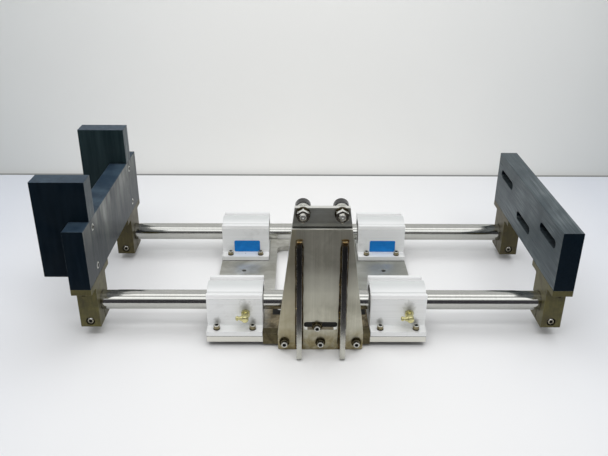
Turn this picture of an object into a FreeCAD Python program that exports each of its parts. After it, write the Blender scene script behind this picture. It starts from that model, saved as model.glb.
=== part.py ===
import FreeCAD, Part
import os
import Sketcher

# Linear guide in millimetres: two shafts with end plates slide through four pillow blocks on a base plate.
# Origin: centre of the base plate's underside. X runs along the shafts, Y to the rear, Z up.

doc = FreeCAD.newDocument("linear_guide")
sheet = doc.addObject("Spreadsheet::Sheet", "dim")

SIZES = (
    # Shafts and fits
    ("shaft_dia", 25.4, "shaft diameter"),
    ("shaft_spacing", 203.2, "between the shaft axes"),
    ("shaft_chamfer", 1.0, "bevel on the shaft ends"),
    ("end_gap", 571.5, "clear length between the two ends of the frame"),
    ("frame_shift", 6.65, "frame centre from the carriage centre as it lies at rest"),
    ("running_clear", 0.05, "radial clearance of moving fits"),
    ("screw_clear", 0.1, "radial clearance round a screw in its tapped hole"),
    ("clamp_clear", 0.12, "radial clearance of a shaft in its support"),
    # End plates and fingers
    ("end_thick", 25.4, "end plate thickness"),
    ("end_height", 79.375, "end plate height"),
    ("end_bevel", 0.6, "bevel on the plastic plates"),
    ("finger_thick", 25.4, "finger thickness"),
    ("finger_reach", 66.0, "finger width, from the cross plate's inner face outwards"),
    ("finger_height", 128.5875, "finger height"),
    ("finger_raise", 2.4, "finger's lower edge above the plate's lower edge"),
    ("end_slot_length", 60.325, "slot in the right plate, end to end"),
    ("end_slot_width", 11.90625, "slot width"),
    ("end_slot_spacing", 188.9, "between the two upper slots"),
    ("upper_slot_up", 53.5, "upper slots above the plate's lower edge"),
    ("middle_slot_up", 26.5, "middle slot above the plate's lower edge"),
    ("finger_screw_low", 12.7, "lower finger screw above the plate's lower edge"),
    ("finger_screw_rise", 54.0, "between a finger's two screws"),
    ("finger_screw_length", 38.1, "finger screw under its head"),
    # Shaft supports
    ("support_seat", 38.1, "flange face to the shaft axis"),
    ("support_length", 82.55, "flange length across the shaft"),
    ("support_flange", 7.94, "flange thickness"),
    ("support_width", 25.4, "support width along the shaft"),
    ("hub_width", 46.0, "hub width across the shaft"),
    ("hub_drop", 28.575, "shaft axis to the free end of the hub"),
    ("hub_round", 2.0, "rounding on the free end of the hub"),
    ("hub_fillet", 2.0, "rounding between hub and flange"),
    ("slit_width", 2.0, "clamping slit"),
    ("clamp_drop", 19.4, "shaft axis to the clamp screw"),
    ("clamp_recess", 11.5, "recess for the clamp screw's head"),
    ("clamp_screw_length", 35.0, "clamp screw under its head"),
    ("flange_screw_length", 25.4, "flange screw under its head"),
    # Pillow blocks
    ("block_length", 71.4, "block length along the shaft"),
    ("block_pitch", 209.55, "between the two blocks on one shaft"),
    ("block_seat", 30.1625, "block base to the shaft axis"),
    ("block_width", 82.55, "flange width"),
    ("block_flange", 7.14, "flange thickness"),
    ("face_width", 52.0, "width over the upright faces"),
    ("ridge_up", 22.2, "top of the ridges above the shaft axis"),
    ("ridge_width", 5.5, "width of a ridge"),
    ("ridge_round", 1.0, "rounding on the ridges"),
    ("line_up", 15.7, "groove line on the faces above the shaft axis"),
    ("line_size", 0.5, "groove line depth and half width"),
    ("dome_dia", 50.8, "round top between the ridges"),
    ("foot_round", 0.6, "rounding between face and flange"),
    ("block_bore", 39.69, "bore for the ball bushing"),
    ("bolt_along", 46.0, "between bolt holes along the shaft"),
    ("bolt_across", 68.3, "between bolt holes across the shaft"),
    ("bolt_hole", 5.6, "bolt hole in the flange"),
    ("bolt_short", 0.4, "bolt end above the base plate's underside"),
    ("port_side", 14.0, "grease port from the block's centre"),
    ("port_drop", 4.5, "grease port below the shaft axis"),
    ("port_dia", 6.4, "grease port"),
    # Ball bushing
    ("sleeve_length", 57.15, "bearing sleeve length"),
    ("sleeve_wall", 2.4, "bearing sleeve wall"),
    ("bushing_clear", 0.12, "radial clearance of bushing pieces in each other"),
    ("cage_gap", 0.6, "shaft to the ball cage between the rows of balls"),
    ("ball_rows", 5, "rows of balls round the shaft"),
    ("rail_width", 4.0, "width of a row of balls"),
    ("rail_length", 42.0, "length of a row of balls"),
    ("seal_thick", 4.2, "shaft seal thickness"),
    ("seal_lip", 1.2, "width of the seal's lip on the shaft"),
    ("seal_relief", 1.5, "radial relief beside the seal's lip"),
    ("snap_thick", 1.6, "snap ring thickness"),
    ("snap_depth", 1.3, "snap ring depth in its groove"),
    ("snap_width", 4.0, "snap ring radial width"),
    ("snap_angle", 325, "part of the circle that a snap ring covers"),
    # Base plate, bar and bracket
    ("base_thick", 7.9375, "base plate thickness"),
    ("base_round", 1.0, "rounding on the base plate's corners"),
    ("window_length", 114.3, "base plate window along the shafts"),
    ("window_width", 190.5, "base plate window across the shafts"),
    ("window_shift", 15.0, "window behind the middle of the base plate"),
    ("window_round", 12.7, "window corners"),
    ("mount_hole", 6.6, "mounting hole in the base plate"),
    ("mount_pitch", 58.8, "between mounting holes across the shafts"),
    ("bar_depth", 12.7, "mounting bar from front to back"),
    ("bar_height", 15.875, "mounting bar height"),
    ("bar_drop", 3.3, "mounting bar below the base plate's underside"),
    ("bar_gap", 0.5, "bar end to the pillow block beside it"),
    ("weld_leg", 3.0, "weld fillet"),
    ("bracket_shift", 4.7625, "bracket centre from the carriage centre"),
    ("bracket_thick", 6.35, "bracket plate thickness"),
    ("bracket_drop", 7.14, "bracket below the base plate's underside"),
    ("bracket_top", 163.5, "bracket top above the base plate's underside"),
    ("bracket_foot_width", 107.95, "bracket width at its foot"),
    ("bracket_foot_height", 25.4, "straight foot below the taper"),
    ("bracket_top_width", 71.4375, "bracket width at its top"),
    ("bracket_round", 3.0, "bracket corners"),
    ("bracket_screw_pitch", 45.6, "between bracket screws"),
    ("bracket_screw_length", 19.05, "bracket screw under its head"),
    ("bracket_hole", 5.6, "screw hole in the bracket"),
    ("slot_length", 42.0, "slot in the bracket"),
    ("slot_height", 11.6, "slot height"),
    ("slot_up", 28.6, "slot centre above the base plate's underside"),
    ("slot_round", 3.0, "slot corners"),
    ("slot_screw_shift", 4.5, "slot screw to the left of the bracket centre"),
    ("rib_pitch", 54.0, "between the ribs"),
    ("rib_thick", 6.35, "rib thickness"),
    ("rib_top", 149.5, "rib top above the base plate's underside"),
    ("rib_top_reach", 4.8, "rib depth at its top"),
    ("rib_foot_reach", 25.4, "rib depth at its foot"),
    ("rib_round", 5.0, "rounding on the rib's lower front corner"),
    ("rib_top_round", 2.0, "rounding on the rib's upper front corner"),
    # Roller plate and rollers
    ("roller_plate_top", 188.3, "roller plate top above the base plate's underside"),
    ("roller_plate_lap", 38.1, "roller plate behind the bracket"),
    ("roller_plate_thick", 6.35, "roller plate thickness"),
    ("roller_pitch", 45.72, "between the rollers"),
    ("roller_up", 181.1, "roller axis above the base plate's underside"),
    ("roller_dia", 19.05, "roller diameter"),
    ("roller_width", 12.7, "roller width"),
    ("roller_wall", 2.0, "roller wall"),
    ("roller_bevel", 0.6, "bevel on the roller's edges"),
    ("roller_side_clear", 0.2, "roller to its end plates"),
    ("needle_dia", 1.9, "needle diameter in the rollers"),
    ("cheek_dia", 15.6, "stud head behind a roller"),
    ("cheek_thick", 1.2, "stud head thickness"),
    ("spacer_dia", 17.46, "stud collar between roller and plate"),
    ("spacer_thick", 5.0, "collar thickness"),
    ("stud_dia", 9.525, "roller stud"),
    ("stud_end", 2.0, "stud end beyond its nut"),
    ("stud_socket", 4.76, "socket in the stud's head, across flats"),
    ("stud_socket_depth", 4.0, "depth of that socket"),
    ("nut_flats", 14.29, "roller nut across flats"),
    ("nut_thick", 8.3, "roller nut thickness"),
    ("roller_washer_dia", 17.3, "lock washer under a roller nut"),
    ("roller_washer_thick", 2.2, "lock washer thickness"),
    # Screws, nuts and washers
    ("small_screw", 4.83, "small screw diameter"),
    ("small_head", 7.92, "small screw head"),
    ("small_socket", 3.97, "small screw socket across flats"),
    ("small_socket_depth", 2.65, "small screw socket depth"),
    ("small_lock_dia", 8.5, "lock washer of a small screw"),
    ("small_lock_thick", 1.2, "lock washer thickness"),
    ("small_flat_dia", 12.7, "flat washer of a small screw"),
    ("small_flat_thick", 1.6, "flat washer thickness"),
    ("small_nut_flats", 9.5, "small nut across flats"),
    ("small_nut_thick", 3.3, "small nut thickness"),
    ("big_screw", 6.35, "big screw diameter"),
    ("big_head", 9.525, "big screw head"),
    ("big_socket", 4.76, "big screw socket across flats"),
    ("big_socket_depth", 3.5, "big screw socket depth"),
    ("head_bevel", 0.5, "bevel on a screw head"),
    ("head_recess", 0.4, "screw head below the face it is let into"),
    ("recess_clear", 0.4, "radial clearance round a head that is let in"),
    ("hole_spare", 1.5, "tapped hole beyond its screw"),
    ("cut_spare", 1.0, "how far a cutting outline runs past what it cuts"),
    ("washer_gap_angle", 12, "opening of a lock washer"),
    # Grease fittings
    ("elbow_dia", 9.0, "grease elbow"),
    ("elbow_reach", 12.5, "block face to the elbow's turn"),
    ("elbow_arm", 5.6, "elbow's turn to its mouth"),
    ("elbow_thread", 5.0, "elbow in the block"),
    ("elbow_knuckle", 9.8, "ball at the elbow's turn"),
    ("elbow_hex", 10.3, "elbow hexagon across flats"),
    ("elbow_hex_thick", 4.0, "elbow hexagon thickness"),
    ("nipple_dia", 5.4, "grease nipple collar"),
    ("nipple_neck", 3.4, "grease nipple neck"),
    ("nipple_ball", 6.4, "grease nipple head"),
    ("nipple_tip", 3.84, "grease nipple tip"),
    ("nipple_waist", 3.2, "grease nipple's mouth to its neck"),
    ("nipple_shoulder", 4.2, "grease nipple's mouth to the widest part of its head"),
    ("nipple_length", 6.4, "grease nipple length"),
)

for row, (alias, number, note) in enumerate(SIZES, 1):
    sheet.set(f"A{row}", note)
    sheet.set(f"B{row}", str(number))
    sheet.setAlias(f"B{row}", alias)
doc.recompute()

# Places that several pieces share, as expressions on the sheet
AXIS_UP = "(dim.base_thick + dim.block_seat)"
HALF_SPACING = "(dim.shaft_spacing / 2)"
HALF_PITCH = "(dim.block_pitch / 2)"
END_LOW = f"({AXIS_UP} + dim.support_seat)"
HALF_GAP = "(dim.end_gap / 2)"
BASE_FRONT = "(-dim.shaft_spacing / 2 - dim.block_width / 2)"
BRACKET_FRONT = f"({BASE_FRONT} - dim.bracket_thick)"
ROLLER_PLATE_REAR = f"({BASE_FRONT} + dim.roller_plate_thick)"
BLOCK_TOP_OF_FLANGE = "(dim.base_thick + dim.block_flange)"
SLEEVE_BORE = "(dim.block_bore / 2 - dim.bushing_clear - dim.sleeve_wall)"

UPRIGHT = FreeCAD.Rotation()
TURNED = FreeCAD.Rotation(FreeCAD.Vector(0, 0, 1), 180)
X_TO_DOWN = FreeCAD.Rotation(FreeCAD.Vector(0, 1, 0), 90)
X_TO_UP = FreeCAD.Rotation(FreeCAD.Vector(0, 1, 0), -90)
X_TO_REAR = FreeCAD.Rotation(FreeCAD.Vector(0, 0, 1), 90)
X_TO_FRONT = FreeCAD.Rotation(FreeCAD.Vector(0, 0, 1), -90)

nodes = []


# The number that an expression gives now
def value(text):
    return float(sheet.evalExpression(text))


# Puts an object at a place given by expressions
def put(item, x, y, z, rotation=UPRIGHT):
    item.Placement = FreeCAD.Placement(FreeCAD.Vector(), rotation)
    for axis, text in zip("xyz", (x, y, z)):
        item.setExpression(f".Placement.Base.{axis}", text)
    return item


# A new body, which is a node of its own unless it only serves as a pattern for copies
def newBody(label, is_node=True):
    body = doc.addObject("PartDesign::Body", label)
    if is_node:
        nodes.append(body)
    return body


# A sketch on one of the body's own planes, set off along the plane's normal
def sketchOn(body, role, offset="0"):
    sketch = body.newObject("Sketcher::SketchObject", f"{body.Label}_sketch")
    plane = next(feature for feature in body.Origin.OriginFeatures if feature.Role == role)
    sketch.AttachmentSupport = [(plane, "")]
    sketch.MapMode = "FlatFace"
    sketch.setExpression(".AttachmentOffset.Base.z", offset)
    return sketch


# Ties one point of a sketch to its place
def pin(sketch, item, end, x, y):
    for kind, text in (("DistanceX", x), ("DistanceY", y)):
        number = sketch.addConstraint(Sketcher.Constraint(kind, -1, 1, item, end, value(text)))
        sketch.setExpression(f"Constraints[{number}]", text)


# A closed outline of straight lines through the given points
def outline(sketch, points):
    spots = [FreeCAD.Vector(value(x), value(y), 0) for x, y in points]
    first = sketch.GeometryCount
    count = len(points)
    for number in range(count):
        sketch.addGeometry(Part.LineSegment(spots[number], spots[(number + 1) % count]), False)
    for number in range(count):
        following = first + (number + 1) % count
        sketch.addConstraint(Sketcher.Constraint("Coincident", first + number, 2, following, 1))
        pin(sketch, first + number, 1, *points[number])


# A rectangle between two opposite corners
def rectangle(sketch, left, low, right, high):
    outline(sketch, ((left, low), (right, low), (right, high), (left, high)))


# A regular hexagon of a given width across flats, with corners at the sides
def hexagon(sketch, flats):
    corner = f"{flats} / sqrt(3)"
    angles = [f"{60 * step} deg" for step in range(6)]
    outline(sketch, [(f"{corner} * cos({angle})", f"{corner} * sin({angle})") for angle in angles])


# A circle of a given diameter
def circle(sketch, x, y, diameter):
    centre = FreeCAD.Vector(value(x), value(y), 0)
    item = sketch.addGeometry(Part.Circle(centre, FreeCAD.Vector(0, 0, 1), value(diameter) / 2), False)
    number = sketch.addConstraint(Sketcher.Constraint("Diameter", item, value(diameter)))
    sketch.setExpression(f"Constraints[{number}]", diameter)
    pin(sketch, item, 3, x, y)


# A round-ended slot that lies along the sketch's first axis
def roundSlot(sketch, x, y, length, width):
    centre = FreeCAD.Vector(value(x), value(y), 0)
    radius = value(width) / 2
    reach = FreeCAD.Vector(value(length) / 2 - radius, 0, 0)
    rise = FreeCAD.Vector(0, radius, 0)
    normal = FreeCAD.Vector(0, 0, 1)
    quarter = FreeCAD.Units.Quantity("90 deg").getValueAs("rad").Value
    left_circle = Part.Circle(centre - reach, normal, radius)
    right_circle = Part.Circle(centre + reach, normal, radius)
    left = sketch.addGeometry(Part.ArcOfCircle(left_circle, quarter, 3 * quarter))
    right = sketch.addGeometry(Part.ArcOfCircle(right_circle, -quarter, quarter))
    top = sketch.addGeometry(Part.LineSegment(centre - reach + rise, centre + reach + rise))
    low = sketch.addGeometry(Part.LineSegment(centre - reach - rise, centre + reach - rise))
    for ends in ((left, 1, top, 1), (top, 2, right, 2), (right, 1, low, 2), (low, 1, left, 2)):
        sketch.addConstraint(Sketcher.Constraint("Tangent", *ends))
    number = sketch.addConstraint(Sketcher.Constraint("Diameter", left, value(width)))
    sketch.setExpression(f"Constraints[{number}]", width)
    pin(sketch, left, 3, f"{x} - ({length} - {width}) / 2", y)
    pin(sketch, right, 3, f"{x} + ({length} - {width}) / 2", y)


# Pads a sketch along its normal, or against it
def pad(body, sketch, length, backwards=False):
    feature = body.newObject("PartDesign::Pad", f"{body.Label}_pad")
    feature.Profile = sketch
    feature.setExpression("Length", length)
    feature.Reversed = backwards
    doc.recompute()
    return feature


# Stops the build if a cutting feature took nothing away
def mustCut(body, before, feature):
    doc.recompute()
    if body.Shape.Volume >= before - 1e-6:
        raise RuntimeError(f"{feature.Label} cuts nothing")
    return feature


# Pockets a sketch against its normal, or along it, to a depth or through everything
def pocket(body, sketch, depth=None, forwards=False):
    doc.recompute()
    before = body.Shape.Volume
    feature = body.newObject("PartDesign::Pocket", f"{body.Label}_pocket")
    feature.Profile = sketch
    feature.Reversed = forwards
    if depth is None:
        feature.Type = "ThroughAll"
    else:
        feature.setExpression("Length", depth)
    return mustCut(body, before, feature)


# Counterbored screw holes at the circles of a sketch
def screwHole(body, sketch, diameter, head, head_depth):
    doc.recompute()
    before = body.Shape.Volume
    feature = body.newObject("PartDesign::Hole", f"{body.Label}_hole")
    feature.Profile = sketch
    feature.DepthType = "ThroughAll"
    feature.setExpression("Diameter", diameter)
    feature.HoleCutType = "Counterbore"
    feature.setExpression("HoleCutDiameter", head)
    feature.setExpression("HoleCutDepth", head_depth)
    return mustCut(body, before, feature)


# Names of a shape's edges along one axis that pass through given spots across it
def edgesAlong(shape, axis, spots):
    across = [name for name in "xyz" if name != axis]
    names = []
    for number, edge in enumerate(shape.Edges, 1):
        ends = [vertex.Point for vertex in edge.Vertexes]
        for spot in spots:
            aims = list(zip(across, spot))
            near = [abs(getattr(end, name) - value(text)) < 1e-4 for end in ends for name, text in aims]
            if all(near) and edge.Length > 1e-3:
                names.append(f"Edge{number}")
    return names


# Names of a shape's full round edges of a given diameter
def roundEdges(shape, diameter):
    names = []
    for number, edge in enumerate(shape.Edges, 1):
        is_round = edge.Curve.TypeId == "Part::GeomCircle"
        if is_round and abs(edge.Curve.Radius - value(diameter) / 2) < 1e-4:
            names.append(f"Edge{number}")
    return names


# Rounds or bevels named edges of the body
def dress(body, kind, size, names):
    base = body.Tip
    feature = body.newObject(f"PartDesign::{kind}", f"{body.Label}_{kind.lower()}")
    feature.Base = (base, names)
    feature.setExpression("Radius" if kind == "Fillet" else "Size", size)
    doc.recompute()
    return feature


# A turned piece: an outline of distances along X and radii, revolved round X
def turned(label, points, angle="360", is_node=True):
    body = newBody(label, is_node)
    sketch = sketchOn(body, "XY_Plane")
    outline(sketch, points)
    feature = body.newObject("PartDesign::Revolution", f"{label}_turning")
    feature.Profile = sketch
    feature.ReferenceAxis = (sketch, ["H_Axis"])
    feature.setExpression("Angle", angle)
    doc.recompute()
    return body


# A plain ring from X = 0
def ring(label, thick, outer, inner, angle="360", is_node=True):
    points = (("0", inner), (thick, inner), (thick, outer), ("0", outer))
    return turned(label, points, angle, is_node)


# A node of separate copies of one piece
def group(label, piece, places):
    copies = []
    for number, place in enumerate(places, 1):
        copy = doc.addObject("App::Link", f"{label}_{number}")
        copy.LinkedObject = piece
        copies.append(put(copy, *place))
    node = doc.addObject("Part::Compound", label)
    node.Links = copies
    nodes.append(node)
    return node


# A socket head screw: head from X = 0 outwards to -X, shank along +X
def socketScrew(label, size, length):
    shank = f"dim.{size}_screw / 2"
    head = f"dim.{size}_head / 2"
    tall = f"dim.{size}_screw"
    points = ((f"-{tall}", "0"), (f"-{tall}", f"{head} - dim.head_bevel"),
              (f"-{tall} + dim.head_bevel", head), ("0", head), ("0", shank), (length, shank), (length, "0"))
    body = turned(label, points, is_node=False)
    sketch = sketchOn(body, "YZ_Plane", f"-{tall}")
    hexagon(sketch, f"dim.{size}_socket")
    pocket(body, sketch, f"dim.{size}_socket_depth", forwards=True)
    return body


# A hexagon nut from X = 0
def hexNut(label, flats, thick, hole):
    body = newBody(label, False)
    sketch = sketchOn(body, "YZ_Plane")
    hexagon(sketch, flats)
    circle(sketch, "0", "0", hole)
    pad(body, sketch, thick)
    return body


# Half the width of the bracket's taper at a height above its straight foot
FOOT_TOP = "(dim.bracket_foot_height - dim.bracket_drop)"


def taper(up):
    rise = f"(({up}) - {FOOT_TOP}) / (dim.bracket_top - {FOOT_TOP})"
    return f"(dim.bracket_foot_width + (dim.bracket_top_width - dim.bracket_foot_width) * {rise}) / 2"


# Shafts
for name, side in (("front", "-"), ("rear", "")):
    length = "(dim.end_gap + 2 * dim.support_width)"
    shaft = newBody(f"shaft_{name}")
    sketch = sketchOn(shaft, "YZ_Plane", f"-{length} / 2")
    circle(sketch, "0", "0", "dim.shaft_dia")
    pad(shaft, sketch, length)
    dress(shaft, "Chamfer", "dim.shaft_chamfer", roundEdges(shaft.Tip.Shape, "dim.shaft_dia"))
    put(shaft, "dim.frame_shift", f"{side}{HALF_SPACING}", AXIS_UP)

# Pillow blocks with their ball bushings, each modelled about the shaft axis
CORNERS = (("front_left", "-", "-", UPRIGHT), ("front_right", "", "-", UPRIGHT),
           ("rear_left", "-", "", TURNED), ("rear_right", "", "", TURNED))
FLANGE_UP = "-dim.block_seat + dim.block_flange"


def pillowBlock(label):
    body = newBody(label)
    sketch = sketchOn(body, "YZ_Plane", "-dim.block_length / 2")
    face = "dim.face_width / 2"
    inner = "dim.face_width / 2 - dim.ridge_width"
    flange = "dim.block_width / 2"
    right = ((flange, "-dim.block_seat"), (flange, FLANGE_UP), (face, FLANGE_UP),
             (face, "dim.line_up - dim.line_size"), (f"{face} - dim.line_size", "dim.line_up"),
             (face, "dim.line_up + dim.line_size"), (face, "dim.ridge_up"),
             (inner, "dim.ridge_up"), (inner, "0"))
    outline(sketch, right + tuple((f"-({y})", z) for y, z in reversed(right)))
    pad(body, sketch, "dim.block_length")
    tops = [(f"{side}({y})", "dim.ridge_up") for side in ("", "-") for y in (face, inner)]
    dress(body, "Fillet", "dim.ridge_round", edgesAlong(body.Tip.Shape, "x", tops))
    feet = [(f"{side}{face}", FLANGE_UP) for side in ("", "-")]
    dress(body, "Fillet", "dim.foot_round", edgesAlong(body.Tip.Shape, "x", feet))
    sketch = sketchOn(body, "YZ_Plane", "-dim.block_length / 2")
    circle(sketch, "0", "0", "dim.dome_dia")
    pad(body, sketch, "dim.block_length")
    sketch = sketchOn(body, "YZ_Plane", "dim.block_length / 2")
    circle(sketch, "0", "0", "dim.block_bore")
    pocket(body, sketch)
    sketch = sketchOn(body, "XY_Plane", FLANGE_UP)
    for x in ("", "-"):
        for y in ("", "-"):
            circle(sketch, f"{x}dim.bolt_along / 2", f"{y}dim.bolt_across / 2", "dim.bolt_hole")
    pocket(body, sketch)
    sketch = sketchOn(body, "XZ_Plane", "dim.face_width / 2")
    circle(sketch, "dim.port_side", "-dim.port_drop", "dim.port_dia")
    pocket(body, sketch, "dim.elbow_thread + dim.screw_clear")
    doc.recompute()
    before = body.Shape.Volume
    sketch = sketchOn(body, "XY_Plane")
    groove = "dim.block_bore / 2 + dim.snap_depth"
    for x in ("", "-"):
        near = f"{x}(dim.sleeve_length / 2 + dim.seal_thick)"
        far = f"{x}(dim.sleeve_length / 2 + dim.seal_thick + dim.snap_thick)"
        rectangle(sketch, near, "dim.block_bore / 2 - dim.cut_spare", far, groove)
    feature = body.newObject("PartDesign::Groove", f"{label}_groove")
    feature.Profile = sketch
    feature.ReferenceAxis = (sketch, ["H_Axis"])
    feature.Angle = 360
    mustCut(body, before, feature)
    return body


def bearingSleeve(label):
    outer = "dim.block_bore / 2 - dim.bushing_clear"
    half = "dim.sleeve_length / 2"
    return turned(label, ((f"-{half}", SLEEVE_BORE), (half, SLEEVE_BORE), (half, outer), (f"-{half}", outer)))


# The ball cage stands for the moulded cage and its balls: each row of balls is one rail along the shaft
def ballCage(label):
    inner = "dim.shaft_dia / 2 + dim.cage_gap"
    outer = f"{SLEEVE_BORE} - dim.bushing_clear"
    half = "dim.sleeve_length / 2"
    body = turned(label, ((f"-{half}", inner), (half, inner), (half, outer), (f"-{half}", outer)))
    sketch = sketchOn(body, "YZ_Plane", "-dim.rail_length / 2")
    crest = "dim.shaft_dia / 2 + dim.running_clear"
    root = f"(({inner}) + ({outer})) / 2"
    rectangle(sketch, "-dim.rail_width / 2", crest, "dim.rail_width / 2", root)
    rail = pad(body, sketch, "dim.rail_length")
    pattern = body.newObject("PartDesign::PolarPattern", f"{label}_rows")
    pattern.Originals = [rail]
    pattern.Axis = (sketch, ["N_Axis"])
    pattern.Angle = 360
    pattern.setExpression("Occurrences", "dim.ball_rows")
    body.Tip = pattern
    doc.recompute()
    return body


for corner, x, y, rotation in CORNERS:
    for piece in (pillowBlock(f"pillow_block_{corner}"), bearingSleeve(f"bearing_sleeve_{corner}"),
                  ballCage(f"ball_cage_{corner}")):
        put(piece, f"{x}{HALF_PITCH}", f"{y}{HALF_SPACING}", AXIS_UP, rotation)

BLOCKS = [(f"{x}{HALF_PITCH}", f"{y}{HALF_SPACING}", rotation) for corner, x, y, rotation in CORNERS]

lip = "dim.shaft_dia / 2 + dim.running_clear"
back = "dim.shaft_dia / 2 + dim.running_clear + dim.seal_relief"
rim = "dim.block_bore / 2 - dim.bushing_clear"
seal = turned("shaft_seal", (("0", lip), ("dim.seal_lip", lip), ("dim.seal_thick / 2", back),
                             ("dim.seal_thick", back), ("dim.seal_thick", rim), ("0", rim)), is_node=False)
snap = ring("snap_ring", "dim.snap_thick", "dim.block_bore / 2 + dim.snap_depth - dim.bushing_clear",
            "dim.block_bore / 2 + dim.snap_depth - dim.snap_width", "dim.snap_angle", False)
seal_places = []
snap_places = []
for x, y, rotation in BLOCKS:
    seal_out = "(dim.sleeve_length / 2 + dim.seal_thick)"
    snap_out = "(dim.sleeve_length / 2 + dim.seal_thick + dim.snap_thick)"
    seal_places.append((f"{x} + {seal_out}", y, AXIS_UP, TURNED))
    seal_places.append((f"{x} - {seal_out}", y, AXIS_UP, UPRIGHT))
    snap_places.append((f"{x} + {snap_out}", y, AXIS_UP, TURNED))
    snap_places.append((f"{x} - {snap_out}", y, AXIS_UP, UPRIGHT))
group("shaft_seals", seal, seal_places)
group("snap_rings", snap, snap_places)

# Screws and lock washers of the pillow blocks
bolt_length = "(dim.small_lock_thick + dim.block_flange + dim.base_thick - dim.bolt_short)"
block_screw = socketScrew("block_screw", "small", bolt_length)
small_lock = ring("small_lock_washer", "dim.small_lock_thick", "dim.small_lock_dia / 2",
                  "dim.small_screw / 2 + dim.screw_clear", "360 - dim.washer_gap_angle", False)
bolts = []
for x, y, rotation in BLOCKS:
    for along in ("+", "-"):
        for across in ("+", "-"):
            bolts.append((f"{x} {along} dim.bolt_along / 2", f"{y} {across} dim.bolt_across / 2"))
group("block_screws", block_screw,
      [(x, y, f"{BLOCK_TOP_OF_FLANGE} + dim.small_lock_thick", X_TO_DOWN) for x, y in bolts])
group("block_lock_washers", small_lock, [(x, y, BLOCK_TOP_OF_FLANGE, X_TO_UP) for x, y in bolts])

# Grease elbows, screwed into the blocks' outer faces, with their nipples
elbow = newBody("grease_elbow", False)
sketch = sketchOn(elbow, "XZ_Plane", "-dim.elbow_thread")
circle(sketch, "0", "0", "dim.port_dia - 2 * dim.screw_clear")
pad(elbow, sketch, "dim.elbow_thread")
sketch = sketchOn(elbow, "XZ_Plane")
hexagon(sketch, "dim.elbow_hex")
pad(elbow, sketch, "dim.elbow_hex_thick")
sketch = sketchOn(elbow, "XZ_Plane")
circle(sketch, "0", "0", "dim.elbow_dia")
pad(elbow, sketch, "dim.elbow_reach")
sketch = sketchOn(elbow, "YZ_Plane", "-dim.elbow_arm")
circle(sketch, "-dim.elbow_reach", "0", "dim.elbow_dia")
pad(elbow, sketch, "dim.elbow_arm")
knuckle = elbow.newObject("PartDesign::AdditiveSphere", "elbow_knuckle")
plane = next(feature for feature in elbow.Origin.OriginFeatures if feature.Role == "XY_Plane")
knuckle.AttachmentSupport = [(plane, "")]
knuckle.MapMode = "FlatFace"
knuckle.setExpression(".AttachmentOffset.Base.y", "-dim.elbow_reach")
knuckle.setExpression("Radius", "dim.elbow_knuckle / 2")
doc.recompute()

neck = "dim.nipple_neck / 2"
collar = "dim.nipple_dia / 2"
ball = "dim.nipple_ball / 2"
nipple = turned("grease_nipple", (("0", "0"), ("0", collar), ("dim.nipple_waist", neck),
                                  ("dim.nipple_shoulder", ball), ("dim.nipple_length", "dim.nipple_tip / 2"),
                                  ("dim.nipple_length", "0")), is_node=False)
elbow_places = []
nipple_places = []
for x, y, rotation in BLOCKS:
    right, front = ("+", "-") if rotation is UPRIGHT else ("-", "+")
    side = f"{x} {right} dim.port_side"
    up = f"{AXIS_UP} - dim.port_drop"
    elbow_places.append((side, f"{y} {front} dim.face_width / 2", up, rotation))
    mouth = f"{side} {front} dim.elbow_arm"
    bend = f"{y} {front} (dim.face_width / 2 + dim.elbow_reach)"
    nipple_places.append((mouth, bend, up, TURNED if rotation is UPRIGHT else UPRIGHT))
group("grease_elbows", elbow, elbow_places)
group("grease_nipples", nipple, nipple_places)

# Base plate with its window, the notch for the bar, and its holes
base = newBody("base_plate")
sketch = sketchOn(base, "XY_Plane")
half_x = "(dim.block_pitch + dim.block_length) / 2"
half_bar = "((dim.block_pitch - dim.block_length) / 2 - dim.bar_gap)"
notch = f"{BASE_FRONT} + dim.bar_depth"
outline(sketch, ((f"-{half_x}", BASE_FRONT), (f"-{half_bar}", BASE_FRONT), (f"-{half_bar}", notch),
                 (half_bar, notch), (half_bar, BASE_FRONT), (half_x, BASE_FRONT), (half_x, f"-{BASE_FRONT}"),
                 (f"-{half_x}", f"-{BASE_FRONT}")))
window_front = "dim.window_shift - dim.window_width / 2"
window_rear = "dim.window_shift + dim.window_width / 2"
rectangle(sketch, "-dim.window_length / 2", window_front, "dim.window_length / 2", window_rear)
pad(base, sketch, "dim.base_thick")
corners = [(f"{x}dim.window_length / 2", y) for x in ("", "-") for y in (window_front, window_rear)]
dress(base, "Fillet", "dim.window_round", edgesAlong(base.Tip.Shape, "z", corners))
corners = [(f"{x}{half_x}", f"{y}{BASE_FRONT}") for x in ("", "-") for y in ("", "-")]
dress(base, "Fillet", "dim.base_round", edgesAlong(base.Tip.Shape, "z", corners))
sketch = sketchOn(base, "XY_Plane", "dim.base_thick")
for x in ("", "-"):
    for y in ("", "-"):
        circle(sketch, f"{x}{HALF_PITCH}", f"{y}dim.mount_pitch / 2", "dim.mount_hole")
pocket(base, sketch)
sketch = sketchOn(base, "XY_Plane", "dim.base_thick")
for x, y in bolts:
    circle(sketch, x, y, "dim.small_screw + 2 * dim.screw_clear")
pocket(base, sketch)

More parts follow.
